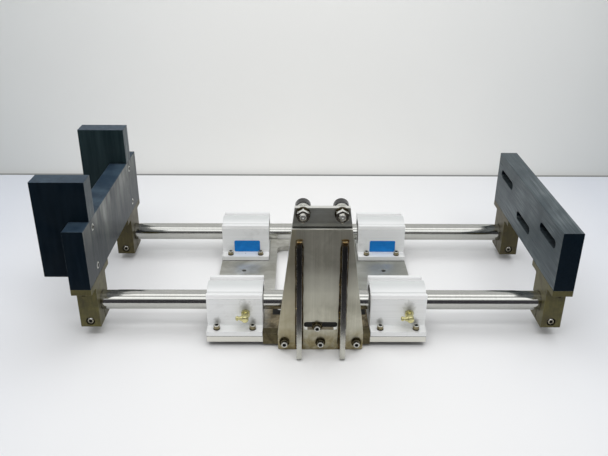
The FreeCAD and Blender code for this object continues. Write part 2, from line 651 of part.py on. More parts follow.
# Mounting bar in the notch, and the weld behind it
bar = newBody("mounting_bar")
sketch = sketchOn(bar, "XZ_Plane", f"-{BASE_FRONT} - dim.bar_depth")
rectangle(sketch, f"-{half_bar}", "-dim.bar_drop", half_bar, "dim.bar_height - dim.bar_drop")
pad(bar, sketch, "dim.bar_depth")
bar_middle = "dim.bar_height / 2 - dim.bar_drop"
screw_spots = [f"dim.bracket_shift + {step} * dim.bracket_screw_pitch" for step in (-1, 0, 1)]
sketch = sketchOn(bar, "XZ_Plane", f"-{BASE_FRONT}")
for x in screw_spots:
    circle(sketch, x, bar_middle, "dim.small_screw + 2 * dim.screw_clear")
pocket(bar, sketch)
weld = newBody("bar_weld")
sketch = sketchOn(weld, "YZ_Plane", f"-{half_bar} + dim.weld_leg")
outline(sketch, ((notch, "dim.base_thick"), (f"{notch} + dim.weld_leg", "dim.base_thick"),
                 (notch, "dim.base_thick + dim.weld_leg")))
pad(weld, sketch, f"2 * {half_bar} - 2 * dim.weld_leg")

# Tapered bracket plate with its slot and screw holes
bracket = newBody("bracket_plate")
sketch = sketchOn(bracket, "XZ_Plane", f"-{BASE_FRONT}")
foot = taper(FOOT_TOP)
top = taper("dim.bracket_top")
corners = ((f"dim.bracket_shift - {foot}", "-dim.bracket_drop"),
           (f"dim.bracket_shift + {foot}", "-dim.bracket_drop"),
           (f"dim.bracket_shift + {foot}", FOOT_TOP),
           (f"dim.bracket_shift + {top}", "dim.bracket_top"),
           (f"dim.bracket_shift - {top}", "dim.bracket_top"),
           (f"dim.bracket_shift - {foot}", FOOT_TOP))
outline(sketch, corners)
slot_sides = ("dim.bracket_shift - dim.slot_length / 2", "dim.bracket_shift + dim.slot_length / 2")
slot_edges = ("dim.slot_up - dim.slot_height / 2", "dim.slot_up + dim.slot_height / 2")
rectangle(sketch, slot_sides[0], slot_edges[0], slot_sides[1], slot_edges[1])
for x in screw_spots:
    circle(sketch, x, bar_middle, "dim.bracket_hole")
pad(bracket, sketch, "dim.bracket_thick")
slot_corners = [(x, z) for x in slot_sides for z in slot_edges]
dress(bracket, "Fillet", "dim.slot_round", edgesAlong(bracket.Tip.Shape, "y", slot_corners))
dress(bracket, "Fillet", "dim.bracket_round", edgesAlong(bracket.Tip.Shape, "y", corners[:2]))

# Ribs on the bracket's front, with their welds
for name, side in (("left", "-"), ("right", "+")):
    rib = newBody(f"bracket_rib_{name}")
    sketch = sketchOn(rib, "YZ_Plane", "-dim.rib_thick / 2")
    front = (("-dim.rib_foot_reach", "-dim.bracket_drop"), ("-dim.rib_top_reach", "dim.rib_top"))
    outline(sketch, (("0", "-dim.bracket_drop"), ("0", "dim.rib_top"), front[1], front[0]))
    pad(rib, sketch, "dim.rib_thick")
    dress(rib, "Fillet", "dim.rib_round", edgesAlong(rib.Tip.Shape, "x", front[:1]))
    dress(rib, "Fillet", "dim.rib_top_round", edgesAlong(rib.Tip.Shape, "x", front[1:]))
    put(rib, f"dim.bracket_shift {side} dim.rib_pitch / 2", BRACKET_FRONT, "0")
welds = newBody("rib_welds")
sketch = sketchOn(welds, "XY_Plane", "-dim.bracket_drop + dim.rib_round")
for side in ("-", "+"):
    for flank in ("-", "+"):
        edge = f"dim.bracket_shift {side} dim.rib_pitch / 2 {flank} dim.rib_thick / 2"
        outline(sketch, ((edge, BRACKET_FRONT), (f"{edge} {flank} dim.weld_leg", BRACKET_FRONT),
                         (edge, f"{BRACKET_FRONT} - dim.weld_leg")))
pad(welds, sketch, "dim.rib_top + dim.bracket_drop - 2 * dim.rib_round")

# Roller plate behind the bracket, and the weld along its lower edge
roller_plate = newBody("roller_plate")
sketch = sketchOn(roller_plate, "XZ_Plane", f"-{ROLLER_PLATE_REAR}")
low = "dim.bracket_top - dim.roller_plate_lap"
high = "dim.roller_plate_top"
corners = [(f"dim.bracket_shift {side} {taper(up)}", up)
           for side, up in (("-", low), ("+", low), ("+", high), ("-", high))]
outline(sketch, corners)
roller_spots = [f"dim.bracket_shift {side} dim.roller_pitch / 2" for side in ("-", "+")]
for x in roller_spots:
    circle(sketch, x, "dim.roller_up", "dim.stud_dia + 2 * dim.screw_clear")
pad(roller_plate, sketch, "dim.roller_plate_thick")
weld = newBody("roller_plate_weld")
sketch = sketchOn(weld, "YZ_Plane", f"dim.bracket_shift - {taper(low)} + dim.weld_leg")
outline(sketch, ((BASE_FRONT, low), (f"{BASE_FRONT} + dim.weld_leg", low),
                 (BASE_FRONT, f"{low} - dim.weld_leg")))
pad(weld, sketch, f"2 * {taper(low)} - 2 * dim.weld_leg")

# Bracket screws with their washers, and the nut of the one in the slot
bracket_screw = socketScrew("bracket_screw", "small", "dim.bracket_screw_length")
small_flat = ring("small_flat_washer", "dim.small_flat_thick", "dim.small_flat_dia / 2",
                  "dim.small_screw / 2 + dim.screw_clear", is_node=False)
small_nut = hexNut("small_nut", "dim.small_nut_flats", "dim.small_nut_thick",
                   "dim.small_screw + 2 * dim.screw_clear")
slot_x = "dim.bracket_shift - dim.slot_screw_shift"
fixings = [(x, bar_middle) for x in screw_spots] + [(slot_x, "dim.slot_up")]
lock_face = f"{BRACKET_FRONT} - dim.small_flat_thick"
group("bracket_flat_washers", small_flat, [(x, BRACKET_FRONT, z, X_TO_FRONT) for x, z in fixings]
      + [(slot_x, BASE_FRONT, "dim.slot_up", X_TO_REAR)])
group("bracket_lock_washers", small_lock, [(x, lock_face, z, X_TO_FRONT) for x, z in fixings])
group("bracket_screws", bracket_screw,
      [(x, f"{lock_face} - dim.small_lock_thick", z, X_TO_REAR) for x, z in fixings])
group("slot_nut", small_nut, [(slot_x, f"{BASE_FRONT} + dim.small_flat_thick", "dim.slot_up", X_TO_REAR)])

# Rollers on their studs: each stud has a head behind the roller and a collar in front of it
race = "(dim.roller_dia / 2 - dim.roller_wall - dim.needle_dia - 2 * dim.running_clear)"
room = "(dim.roller_width + 2 * dim.roller_side_clear)"
cheek = "dim.cheek_dia / 2"
shank = "dim.stud_dia / 2"
collar = "dim.spacer_dia / 2"
seat = f"dim.cheek_thick + {room} + dim.spacer_thick"
tail = f"{seat} + dim.roller_plate_thick + dim.roller_washer_thick + dim.nut_thick + dim.stud_end"
stud = turned("roller_stud", (("0", "0"), ("0", f"{cheek} - dim.head_bevel"), ("dim.head_bevel", cheek),
                              ("dim.cheek_thick", cheek), ("dim.cheek_thick", race),
                              (f"dim.cheek_thick + {room}", race), (f"dim.cheek_thick + {room}", collar),
                              (seat, collar), (seat, shank), (f"{tail} - dim.head_bevel", shank),
                              (tail, f"{shank} - dim.head_bevel"), (tail, "0")), is_node=False)
sketch = sketchOn(stud, "YZ_Plane")
hexagon(sketch, "dim.stud_socket")
pocket(stud, sketch, "dim.stud_socket_depth", forwards=True)
stud_rear = f"{ROLLER_PLATE_REAR} + {seat}"
group("roller_studs", stud, [(x, stud_rear, "dim.roller_up", X_TO_FRONT) for x in roller_spots])
needles = ring("needle_sleeve", "dim.roller_width",
               "dim.roller_dia / 2 - dim.roller_wall - dim.running_clear",
               f"{race} + dim.running_clear", is_node=False)
ring_rear = f"{stud_rear} - dim.cheek_thick - dim.roller_side_clear"
group("roller_needles", needles, [(x, ring_rear, "dim.roller_up", X_TO_FRONT) for x in roller_spots])
bore = "dim.roller_dia / 2 - dim.roller_wall"
rim = "dim.roller_dia / 2"
for name, x in zip(("left", "right"), roller_spots):
    roller = turned(f"roller_{name}", (
        ("0", bore), ("dim.roller_width", bore), ("dim.roller_width", f"{rim} - dim.roller_bevel"),
        ("dim.roller_width - dim.roller_bevel", rim), ("dim.roller_bevel", rim),
        ("0", f"{rim} - dim.roller_bevel")))
    put(roller, x, ring_rear, "dim.roller_up", X_TO_FRONT)
roller_lock = ring("roller_lock_washer", "dim.roller_washer_thick", "dim.roller_washer_dia / 2",
                   "dim.stud_dia / 2 + dim.screw_clear", "360 - dim.washer_gap_angle", False)
group("roller_lock_washers", roller_lock,
      [(x, BASE_FRONT, "dim.roller_up", X_TO_FRONT) for x in roller_spots])
roller_nut = hexNut("roller_nut", "dim.nut_flats", "dim.nut_thick", "dim.stud_dia + 2 * dim.screw_clear")
group("roller_nuts", roller_nut,
      [(x, f"{BASE_FRONT} - dim.roller_washer_thick", "dim.roller_up", X_TO_FRONT) for x in roller_spots])

# Shaft supports, flange up, each modelled about the shaft axis
FLANGE_SCREW_OUT = "(dim.support_length + dim.hub_width) / 4"
ENDS = (("left", "-", f"dim.frame_shift - {HALF_GAP}"), ("right", "+", f"dim.frame_shift + {HALF_GAP}"))


def shaftSupport(label):
    body = newBody(label)
    sketch = sketchOn(body, "YZ_Plane", "-dim.support_width / 2")
    under = "dim.support_seat - dim.support_flange"
    right = (("dim.hub_width / 2", "-dim.hub_drop"), ("dim.hub_width / 2", under),
             ("dim.support_length / 2", under), ("dim.support_length / 2", "dim.support_seat"))
    outline(sketch, right + tuple((f"-{y}", z) for y, z in reversed(right)))
    circle(sketch, "0", "0", "dim.shaft_dia + 2 * dim.clamp_clear")
    pad(body, sketch, "dim.support_width")
    ends = [(f"{side}dim.hub_width / 2", "-dim.hub_drop") for side in ("", "-")]
    dress(body, "Fillet", "dim.hub_round", edgesAlong(body.Tip.Shape, "x", ends))
    roots = [(f"{side}dim.hub_width / 2", under) for side in ("", "-")]
    dress(body, "Fillet", "dim.hub_fillet", edgesAlong(body.Tip.Shape, "x", roots))
    sketch = sketchOn(body, "YZ_Plane", "dim.support_width / 2")
    rectangle(sketch, "-dim.slit_width / 2", "-dim.hub_drop - dim.cut_spare",
              "dim.slit_width / 2", "-dim.shaft_dia / 2 + dim.cut_spare")
    pocket(body, sketch)
    sketch = sketchOn(body, "XZ_Plane", "dim.hub_width / 2")
    circle(sketch, "0", "-dim.clamp_drop", "dim.small_screw + 2 * dim.screw_clear")
    screwHole(body, sketch, "dim.small_screw + 2 * dim.screw_clear", "dim.clamp_recess",
              "dim.small_screw + dim.head_recess")
    sketch = sketchOn(body, "XY_Plane", "dim.support_seat")
    for side in ("", "-"):
        circle(sketch, "0", f"{side}{FLANGE_SCREW_OUT}", "dim.small_screw + 2 * dim.recess_clear")
    pocket(body, sketch, "dim.support_flange")
    return body


clamp_screw = socketScrew("clamp_screw", "small", "dim.clamp_screw_length")
flange_screw = socketScrew("flange_screw", "small", "dim.flange_screw_length")
clamps = []
risers = []
for end, way, inner in ENDS:
    middle = f"{inner} {way} dim.support_width / 2"
    for name, side in (("front", "-"), ("rear", "")):
        put(shaftSupport(f"shaft_support_{name}_{end}"), middle, f"{side}{HALF_SPACING}", AXIS_UP)
        seat_y = f"{side}{HALF_SPACING} - dim.hub_width / 2 + dim.small_screw + dim.head_recess"
        clamps.append((middle, seat_y, f"{AXIS_UP} - dim.clamp_drop", X_TO_REAR))
        for hand in ("-", "+"):
            spot = f"{side}{HALF_SPACING} {hand} {FLANGE_SCREW_OUT}"
            risers.append((middle, spot, f"{END_LOW} - dim.support_flange", X_TO_UP))
group("clamp_screws", clamp_screw, clamps)
group("flange_screws", flange_screw, risers)

# End plates: a plate on edge across both supports, with tapped holes for the flange screws
END_HALF = "((dim.shaft_spacing + dim.support_length) / 2)"
BIG_TAPPED = "dim.big_screw + 2 * dim.screw_clear"
SMALL_TAPPED = "dim.small_screw + 2 * dim.screw_clear"


def endPlate(label):
    body = newBody(label)
    sketch = sketchOn(body, "YZ_Plane", "-dim.end_thick / 2")
    rectangle(sketch, f"-{END_HALF}", "0", END_HALF, "dim.end_height")
    pad(body, sketch, "dim.end_thick")
    long_edges = [(f"{x}dim.end_thick / 2", z) for x in ("", "-") for z in ("0", "dim.end_height")]
    dress(body, "Chamfer", "dim.end_bevel", edgesAlong(body.Tip.Shape, "y", long_edges))
    sketch = sketchOn(body, "XY_Plane")
    for side in ("-", ""):
        for hand in ("-", "+"):
            circle(sketch, "0", f"{side}{HALF_SPACING} {hand} {FLANGE_SCREW_OUT}", SMALL_TAPPED)
    pocket(body, sketch, "dim.flange_screw_length - dim.support_flange + dim.hole_spare", forwards=True)
    return body


right_plate = endPlate("end_plate_right")
sketch = sketchOn(right_plate, "YZ_Plane", "dim.end_thick / 2")
for y, up in (("-dim.end_slot_spacing / 2", "dim.upper_slot_up"),
              ("dim.end_slot_spacing / 2", "dim.upper_slot_up"), ("0", "dim.middle_slot_up")):
    roundSlot(sketch, y, up, "dim.end_slot_length", "dim.end_slot_width")
pocket(right_plate, sketch)
put(right_plate, f"{ENDS[1][2]} + dim.end_thick / 2", "0", END_LOW)

finger_rows = ("dim.finger_screw_low", "dim.finger_screw_low + dim.finger_screw_rise")
head_depth = "dim.big_screw + dim.head_recess"
cross_plate = endPlate("cross_plate_left")
sketch = sketchOn(cross_plate, "YZ_Plane", "dim.end_thick / 2")
for side in ("-", ""):
    for up in finger_rows:
        circle(sketch, f"{side}{HALF_SPACING}", up, BIG_TAPPED)
screwHole(cross_plate, sketch, "dim.big_screw + 2 * dim.recess_clear",
          "dim.big_head + 2 * dim.recess_clear", head_depth)
put(cross_plate, f"{ENDS[0][2]} - dim.end_thick / 2", "0", END_LOW)

# Fingers: upright plates notched to sit over the cross plate's outer side
finger_screws = []
for name, side in (("front", "-"), ("rear", "")):
    finger = newBody(f"finger_{name}")
    sketch = sketchOn(finger, "XZ_Plane", "-dim.finger_thick / 2")
    outline(sketch, (("-dim.finger_reach", "dim.finger_raise"), ("-dim.end_thick", "dim.finger_raise"),
                     ("-dim.end_thick", "dim.end_height"), ("0", "dim.end_height"),
                     ("0", "dim.finger_raise + dim.finger_height"),
                     ("-dim.finger_reach", "dim.finger_raise + dim.finger_height")))
    pad(finger, sketch, "dim.finger_thick")
    sketch = sketchOn(finger, "YZ_Plane", "-dim.end_thick")
    for up in finger_rows:
        circle(sketch, "0", up, BIG_TAPPED)
        seat_x = f"{ENDS[0][2]} - {head_depth}"
        finger_screws.append((seat_x, f"{side}{HALF_SPACING}", f"{END_LOW} + {up}", TURNED))
    pocket(finger, sketch, f"dim.finger_screw_length - dim.end_thick + {head_depth} + dim.hole_spare")
    put(finger, ENDS[0][2], f"{side}{HALF_SPACING}", END_LOW)
group("finger_screws", socketScrew("finger_screw", "big", "dim.finger_screw_length"), finger_screws)

# Checks, then one file for each node
doc.recompute()
failed = [item.Label for item in doc.Objects if "Invalid" in item.State or "Error" in item.State]
if failed:
    raise RuntimeError(f"failed objects: {failed}")
for node in nodes:
    if node.Shape.isNull() or not node.Shape.isValid() or not node.Shape.Solids:
        raise RuntimeError(f"{node.Label} has no valid solid")
os.makedirs("parts", exist_ok=True)
for node in nodes:
    node.Shape.exportStep(f"parts/{node.Label}.step")
print(len(nodes), "nodes,", sum(len(node.Shape.Solids) for node in nodes), "solids")
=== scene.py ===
import math

import bmesh
import bpy
from mathutils import Matrix, Vector


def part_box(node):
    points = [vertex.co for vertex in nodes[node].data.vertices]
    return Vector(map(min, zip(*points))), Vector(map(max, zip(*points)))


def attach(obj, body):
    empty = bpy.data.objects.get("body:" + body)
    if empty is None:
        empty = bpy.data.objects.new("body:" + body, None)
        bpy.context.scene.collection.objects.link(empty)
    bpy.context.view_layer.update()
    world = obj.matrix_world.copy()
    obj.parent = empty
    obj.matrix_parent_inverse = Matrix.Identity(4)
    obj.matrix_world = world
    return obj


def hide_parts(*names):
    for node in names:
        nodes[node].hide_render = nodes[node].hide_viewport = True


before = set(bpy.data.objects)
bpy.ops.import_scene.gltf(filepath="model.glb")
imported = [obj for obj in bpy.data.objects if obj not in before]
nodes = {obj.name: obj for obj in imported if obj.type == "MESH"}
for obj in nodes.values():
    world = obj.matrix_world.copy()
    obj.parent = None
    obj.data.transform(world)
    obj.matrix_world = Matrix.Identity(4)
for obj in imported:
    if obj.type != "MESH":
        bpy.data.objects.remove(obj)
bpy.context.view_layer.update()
scene = bpy.context.scene
scene.view_settings.view_transform = "Standard"
mm = 0.001
print("frame loaded:", len(nodes), "parts")


def inMm(**sizes):
    return {key: size * mm for key, size in sizes.items()}


# middle of a part's box
def middle(name):
    low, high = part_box(name)
    return (low + high) / 2


# a colour as read from a picture, made linear for the shaders
def tone(*parts):
    return tuple(part / 12.92 if part <= 0.04045 else ((part + 0.055) / 1.055) ** 2.4 for part in parts) + (1.0,)


# camera: the place and aim that put the shafts and end plates where the photo has them
photoCamera = dict(
    place=(-0.02349, -0.87685, 0.51673),
    pitch=25.779,  # degrees down
    yaw=0.513,  # degrees to the right
    roll=0.390,
    focalPixels=690.14,
    imageWidth=608,
)


def addCamera(look):
    pitch, yaw, roll = (math.radians(look[key]) for key in ("pitch", "yaw", "roll"))
    forward = Vector((math.sin(yaw) * math.cos(pitch), math.cos(yaw) * math.cos(pitch), -math.sin(pitch)))
    level = Vector((math.cos(yaw), -math.sin(yaw), 0))
    up = level.cross(forward)
    right = level * math.cos(roll) + up * math.sin(roll)
    top = up * math.cos(roll) - level * math.sin(roll)
    data = bpy.data.cameras.new("photoCamera")
    data.sensor_fit = "HORIZONTAL"
    data.sensor_width = 36
    data.lens = data.sensor_width * look["focalPixels"] / look["imageWidth"]
    data.clip_start = 0.01
    camera = bpy.data.objects.new("photoCamera", data)
    scene.collection.objects.link(camera)
    camera.matrix_world = Matrix.Translation(look["place"]) @ Matrix((right, top, -forward)).transposed().to_4x4()
    scene.camera = camera


addCamera(photoCamera)
print("camera placed")


# node helpers: they work on the tree that is open, and each new node takes the next place in a grid
openTree = {}


def addNode(kind, **settings):
    tree = openTree["now"]
    column, row = divmod(len(tree.nodes), 8)
    node = tree.nodes.new(kind)
    node.location = (220 * column, -280 * row)
    for key, setting in settings.items():
        setattr(node, key, setting)
    return node


# a link from another node, or a value of its own; colours are given as read from a picture
def put(socket, source):
    if isinstance(source, bpy.types.NodeSocket):
        openTree["now"].links.new(source, socket)
    elif socket.type == "RGBA" and len(source) == 3:
        socket.default_value = tone(*source)
    else:
        socket.default_value = source


def feed(node, **values):
    for key, source in values.items():
        put(node.inputs[key.replace("_", " ")], source)
    return node


# a shader group: inputs by their starting values, outputs by name
def newGroup(name, outputs, **inputs):
    tree = openTree["now"] = bpy.data.node_groups.new(name, "ShaderNodeTree")
    for label, start in inputs.items():
        kind = "NodeSocketVector" if isinstance(start, tuple) else "NodeSocketFloat"
        tree.interface.new_socket(name=label, in_out="INPUT", socket_type=kind).default_value = start
    for label in outputs:
        kind = {"Normal": "NodeSocketVector", "Color": "NodeSocketColor"}.get(label, "NodeSocketFloat")
        tree.interface.new_socket(name=label, in_out="OUTPUT", socket_type=kind)
    return addNode("NodeGroupInput").outputs, addNode("NodeGroupOutput")


def calc(operation, first, second=0.0, kind="ShaderNodeMath"):
    node = addNode(kind, operation=operation)
    put(node.inputs[0], first)
    put(node.inputs[1], second)
    return node.outputs["Vector" if operation == "MULTIPLY" and "Vector" in kind else "Value"]


def vectorCalc(operation, first, second):
    return calc(operation, first, second, "ShaderNodeVectorMath")


def times(first, second):
    return calc("MULTIPLY", first, second)


def spread(source, low, high, start=0.0, end=1.0):
    node = addNode("ShaderNodeMapRange")
    return feed(node, Value=source, From_Min=low, From_Max=high, To_Min=start, To_Max=end).outputs[0]


# 0 to 1 across an edge, as soft on both sides
def acrossEdge(source, edge, soft):
    return spread(source, calc("SUBTRACT", edge, soft), calc("ADD", edge, soft))


def between(source, low, high, soft):
    return times(spread(source, low - soft, low), spread(source, high + soft, high))


def blend(share, first, second):
    node = addNode("ShaderNodeMix", data_type="RGBA")
    for number, source in ((0, share), (6, first), (7, second)):
        put(node.inputs[number], source)
    return node.outputs[2]


def objectPlace():
    return addNode("ShaderNodeTexCoord").outputs["Object"]


def axisParts(source):
    return feed(addNode("ShaderNodeSeparateXYZ"), Vector=source).outputs


def placeParts():
    return axisParts(objectPlace())


def cloud(place=None, **values):
    return feed(addNode("ShaderNodeTexNoise"), Vector=place or objectPlace(), **values).outputs[0]


# a value made uneven by noise
def uneven(source, amount, **values):
    return calc("ADD", source, spread(cloud(**values), 0.3, 0.7, -amount, amount))


# lines left by a brush, a saw or an extrusion die: noise drawn out along one way
def buildBrushLines():
    start, end = newGroup("brushLines", ("Mask", "Height"), Stretch=(20, 900, 900), Contrast=0.25)
    drawn = vectorCalc("MULTIPLY", objectPlace(), start["Stretch"])
    noise = cloud(drawn, Scale=1.0, Detail=5.0, Roughness=0.6)
    feed(end, Mask=acrossEdge(noise, 0.5, start["Contrast"]), Height=noise)


# soft patches of dirt, oil and dull oxide
def buildStains():
    start, end = newGroup("stains", ("Mask",), Scale=30.0, Cover=0.5, Softness=0.15)
    broad = cloud(Scale=start["Scale"], Detail=7.0, Roughness=0.62, Distortion=0.6)
    edge = calc("SUBTRACT", 1.0, start["Cover"])
    feed(end, Mask=acrossEdge(broad, edge, start["Softness"]))


# rubbed edges with a painted highlight, broken up, and the softened normal that gives each edge its glint
def buildEdgeWearAndHighlight():
    start, end = newGroup("edgeWearAndHighlight", ("Mask", "Normal"), Radius=0.0006, Breakup=300.0)
    bevel = feed(addNode("ShaderNodeBevel", samples=4), Radius=start["Radius"]).outputs[0]
    turn = vectorCalc("DOT_PRODUCT", bevel, addNode("ShaderNodeNewGeometry").outputs["Normal"])
    broken = spread(cloud(Scale=start["Breakup"], Detail=4.0), 0.38, 0.58)
    feed(end, Mask=times(spread(turn, 0.995, 0.80), broken), Normal=bevel)


# fine tooth of cast, moulded or blasted skin
def buildSkin():
    start, end = newGroup("skin", ("Height",), Scale=2500.0)
    feed(end, Height=cloud(Scale=start["Scale"], Detail=3.0, Roughness=0.55))


# straw, brown and violet bands that welding and heat leave on steel
def buildHeatTint():
    start, end = newGroup("heatTint", ("Mask", "Color"), Nearness=0.0, Breakup=120.0)
    shifted = uneven(start["Nearness"], 0.22, Scale=start["Breakup"], Detail=5.0, Distortion=0.8)
    ramp = feed(addNode("ShaderNodeValToRGB"), Fac=shifted)
    bands = ramp.color_ramp.elements
    bands[0].position, bands[0].color = 0.30, tone(0.62, 0.58, 0.47)
    bands[1].position, bands[1].color = 0.95, tone(0.27, 0.24, 0.22)
    bands.new(0.50).color = tone(0.58, 0.47, 0.27)
    bands.new(0.70).color = tone(0.42, 0.29, 0.14)
    bands.new(0.83).color = tone(0.33, 0.25, 0.22)
    feed(end, Mask=spread(shifted, 0.22, 0.62), Color=ramp.outputs[0])


# sparse specks of dirt: small dots in a few of the cells of a scattered pattern
def buildSpecks():
    start, end = newGroup("specks", ("Mask",), Scale=90.0, Size=0.09, Share=0.2)
    cells = feed(addNode("ShaderNodeTexVoronoi"), Vector=objectPlace(), Scale=start["Scale"]).outputs
    parts = feed(addNode("ShaderNodeSeparateColor"), Color=cells["Color"]).outputs
    size = times(start["Size"], spread(parts[1], 0.0, 1.0, 0.4, 1.0))
    dot = spread(cells["Distance"], size, times(size, 0.4))
    feed(end, Mask=times(dot, calc("LESS_THAN", parts[0], start["Share"])))


# paper that falls off to the left and right, as under one broad lamp
def buildSideFade():
    start, end = newGroup("sideFade", ("Mask",), Middle=0.0, Reach=0.6)
    aside = calc("SUBTRACT", placeParts()["X"], start["Middle"])
    far = calc("DIVIDE", aside, start["Reach"])
    fade = uneven(times(far, far), 0.05, Scale=3.0, Detail=2.0)
    feed(end, Mask=spread(fade, 0.0, 1.6, 0.0, 1.6))


# grime and painted shade that gather in corners, under heads and along joints
def buildGrimeAndShade():
    start, end = newGroup("grimeAndShade", ("Mask",), Reach=0.003, Breakup=200.0)
    corner = feed(addNode("ShaderNodeAmbientOcclusion", samples=6), Distance=start["Reach"])
    shifted = uneven(corner.outputs["AO"], 0.15, Scale=start["Breakup"], Detail=4.0)
    feed(end, Mask=spread(shifted, 0.72, 0.25))


# streaks where a plate was rubbed: fine lines, broken into broad patches
def buildRubMarks():
    start, end = newGroup("rubMarks", ("Mask",), Stretch=(600, 18, 600), Patch=12.0, Cover=0.5)
    drawn = vectorCalc("MULTIPLY", objectPlace(), start["Stretch"])
    streak = spread(cloud(drawn, Scale=1.0, Detail=4.0, Roughness=0.55), 0.36, 0.64)
    patch = cloud(Scale=start["Patch"], Detail=3.0, Distortion=0.5)
    worn = acrossEdge(patch, calc("SUBTRACT", 1.0, start["Cover"]), 0.14)
    feed(end, Mask=times(streak, worn))


# which way a face looks: up, down, or along the shafts
def buildFacing():
    start, end = newGroup("facing", ("Up", "Side", "Down"), Edge=0.6)
    parts = axisParts(addNode("ShaderNodeNewGeometry").outputs["Normal"])
    over = calc("ADD", start["Edge"], 0.3)
    ways = {"Up": parts["Z"], "Side": calc("ABSOLUTE", parts["X"]), "Down": times(parts["Z"], -1.0)}
    feed(end, **{label: spread(way, start["Edge"], over) for label, way in ways.items()})


# a spot of painted shadow and reflection on an upright face, a little taller than wide
def buildShadeSpot():
    start, end = newGroup("shadeSpot", ("Mask",), Spot=(0, 0, 0), Reach=0.008)
    flat = [vectorCalc("MULTIPLY", spot, (1, 0, 0.7)) for spot in (objectPlace(), start["Spot"])]
    rag = spread(cloud(Scale=220.0, Detail=4.0), 0.3, 0.7, 0.75, 1.3)
    far = times(vectorCalc("DISTANCE", *flat), rag)
    feed(end, Mask=spread(far, start["Reach"], times(start["Reach"], 0.15)))


for build in (buildShadeSpot, buildRubMarks, buildFacing, buildGrimeAndShade, buildSpecks, buildSideFade, buildBrushLines,
              buildStains, buildEdgeWearAndHighlight, buildSkin, buildHeatTint):
    build()
print("shader groups built:", len(bpy.data.node_groups))


def useGroup(name, **values):
    return feed(addNode("ShaderNodeGroup", node_tree=bpy.data.node_groups[name]), **values).outputs


def newMaterial(name):
    material = bpy.data.materials.new(name)
    material.use_nodes = True
    openTree["now"] = material.node_tree
    return material, material.node_tree.nodes["Principled BSDF"]


# one finish: two tones mixed by brush lines, then stains, specks, a tint of its own, grime with painted shade in its
# corners, and rubbed edges with a painted highlight, with bump and varied gloss
def makeFinish(name, look):
    material, shader = newMaterial(name)
    feed(shader, Metallic=look["metallic"], Specular_IOR_Level=look["specular"])
    if "metalMap" in look:
        feed(shader, Metallic=look["metalMap"]())
    if "sheen" in look:
        feed(shader, Sheen_Weight=look["sheen"], Sheen_Roughness=look["sheenRough"], Sheen_Tint=look["sheenTint"])
    lines = useGroup("brushLines", Stretch=look["stretch"], Contrast=look["contrast"])
    skin = useGroup("skin", Scale=look["skinScale"])
    stains = useGroup("stains", Scale=look["stainScale"], Cover=look["stainCover"], Softness=look["stainSoftness"])
    wearAndHighlight = useGroup("edgeWearAndHighlight", Radius=look["edgeRadius"], Breakup=look["edgeBreakup"])
    dirt = times(stains["Mask"], look["stainAmount"])
    colour = blend(lines["Mask"], look["dark"], look["light"])
    colour = blend(dirt, colour, look["stain"])
    rough = spread(lines["Mask"], 0.0, 1.0, *look["rough"])
    rough = calc("ADD", rough, times(dirt, look["stainRough"]))
    if "speck" in look:
        dots = useGroup("specks", Scale=look["speckScale"], Size=look["speckSize"], Share=look["speckShare"])
        colour = blend(dots["Mask"], colour, look["speck"])
    if "tint" in look:
        colour = look["tint"](colour)
    # grime and painted shade, darkest in the deepest hollows
    if "grimeAndShade" in look:
        corners = useGroup("grimeAndShade", Reach=look["grimeAndShadeReach"], Breakup=look["grimeAndShadeBreakup"])
        share = times(corners["Mask"], look["grimeAndShadeAmount"])
        colour = blend(share, colour, look["grimeAndShade"])
        rough = calc("ADD", rough, times(share, look["grimeAndShadeRough"]))
    colour = blend(times(wearAndHighlight["Mask"], look["edgeAmount"]), colour, look["edge"])
    depths = [times(grain["Height"], look[depth]) for grain, depth in ((lines, "lineDepth"), (skin, "skinDepth"))]
    height = calc("ADD", *depths)
    bump = feed(addNode("ShaderNodeBump"), Distance=mm, Height=height, Normal=wearAndHighlight["Normal"])
    feed(shader, Base_Color=colour, Roughness=rough, Normal=bump.outputs[0])
    return material


# each finish starts from these values and changes what differs
plainLook = dict(
    metallic=0.0, specular=0.5, rough=(0.35, 0.45),
    stretch=(20, 900, 900), contrast=0.25,
    skinScale=2500.0, skinDepth=0.02, lineDepth=0.02,
    stainScale=30.0, stainCover=0.45, stainSoftness=0.15, stainAmount=0.3, stainRough=0.1,
    edgeRadius=0.0005, edgeBreakup=400.0, edgeAmount=0.5, grimeAndShadeRough=0.2,
)
# grime and painted shade in corners, for the finishes that take them
grimeAndShadeLook = dict(grimeAndShade=(0.14, 0.125, 0.095), grimeAndShadeReach=3 * mm, grimeAndShadeBreakup=220.0, grimeAndShadeAmount=0.75)

# plastic plates: nearly black where sawn; paler on their sides and tops, as painted reflection and sheen with rub
# streaks
slate = dict(
    sideDark=(0.19, 0.228, 0.248), sideLight=(0.40, 0.437, 0.452),
    topDark=(0.145, 0.20, 0.255), topLight=(0.26, 0.325, 0.375),
    endTopDark=(0.21, 0.245, 0.265), endTopLight=(0.40, 0.43, 0.44),
    crossDark=(0.185, 0.20, 0.21), crossLight=(0.575, 0.585, 0.565),
    cover=0.52, turn=0.35, paleFrom=18 * mm, paleTo=75 * mm, leastPale=0.05,
)


def slateRubAndSheen(stretch, patch=11.0, side="side", top="top", lowEdge=None):
    def tint(colour):
        facing = useGroup("facing", Edge=slate["turn"])
        mask = useGroup("rubMarks", Stretch=stretch, Patch=patch, Cover=slate["cover"])["Mask"]
        share = mask
        if lowEdge is not None:  # darker towards the lower edge
            low, high = lowEdge + slate["paleFrom"], lowEdge + slate["paleTo"]
            up = placeParts()["Z"]
            share = times(mask, spread(up, low, high, slate["leastPale"], 1.0))
        # painted reflection on the sides and painted sheen on the tops, streaked where rubbed
        sideTone = blend(share, slate[side + "Dark"], slate[side + "Light"])
        topTone = blend(mask, slate[top + "Dark"], slate[top + "Light"])
        colour = blend(facing["Side"], colour, sideTone)
        return blend(facing["Up"], colour, topTone)
    return tint


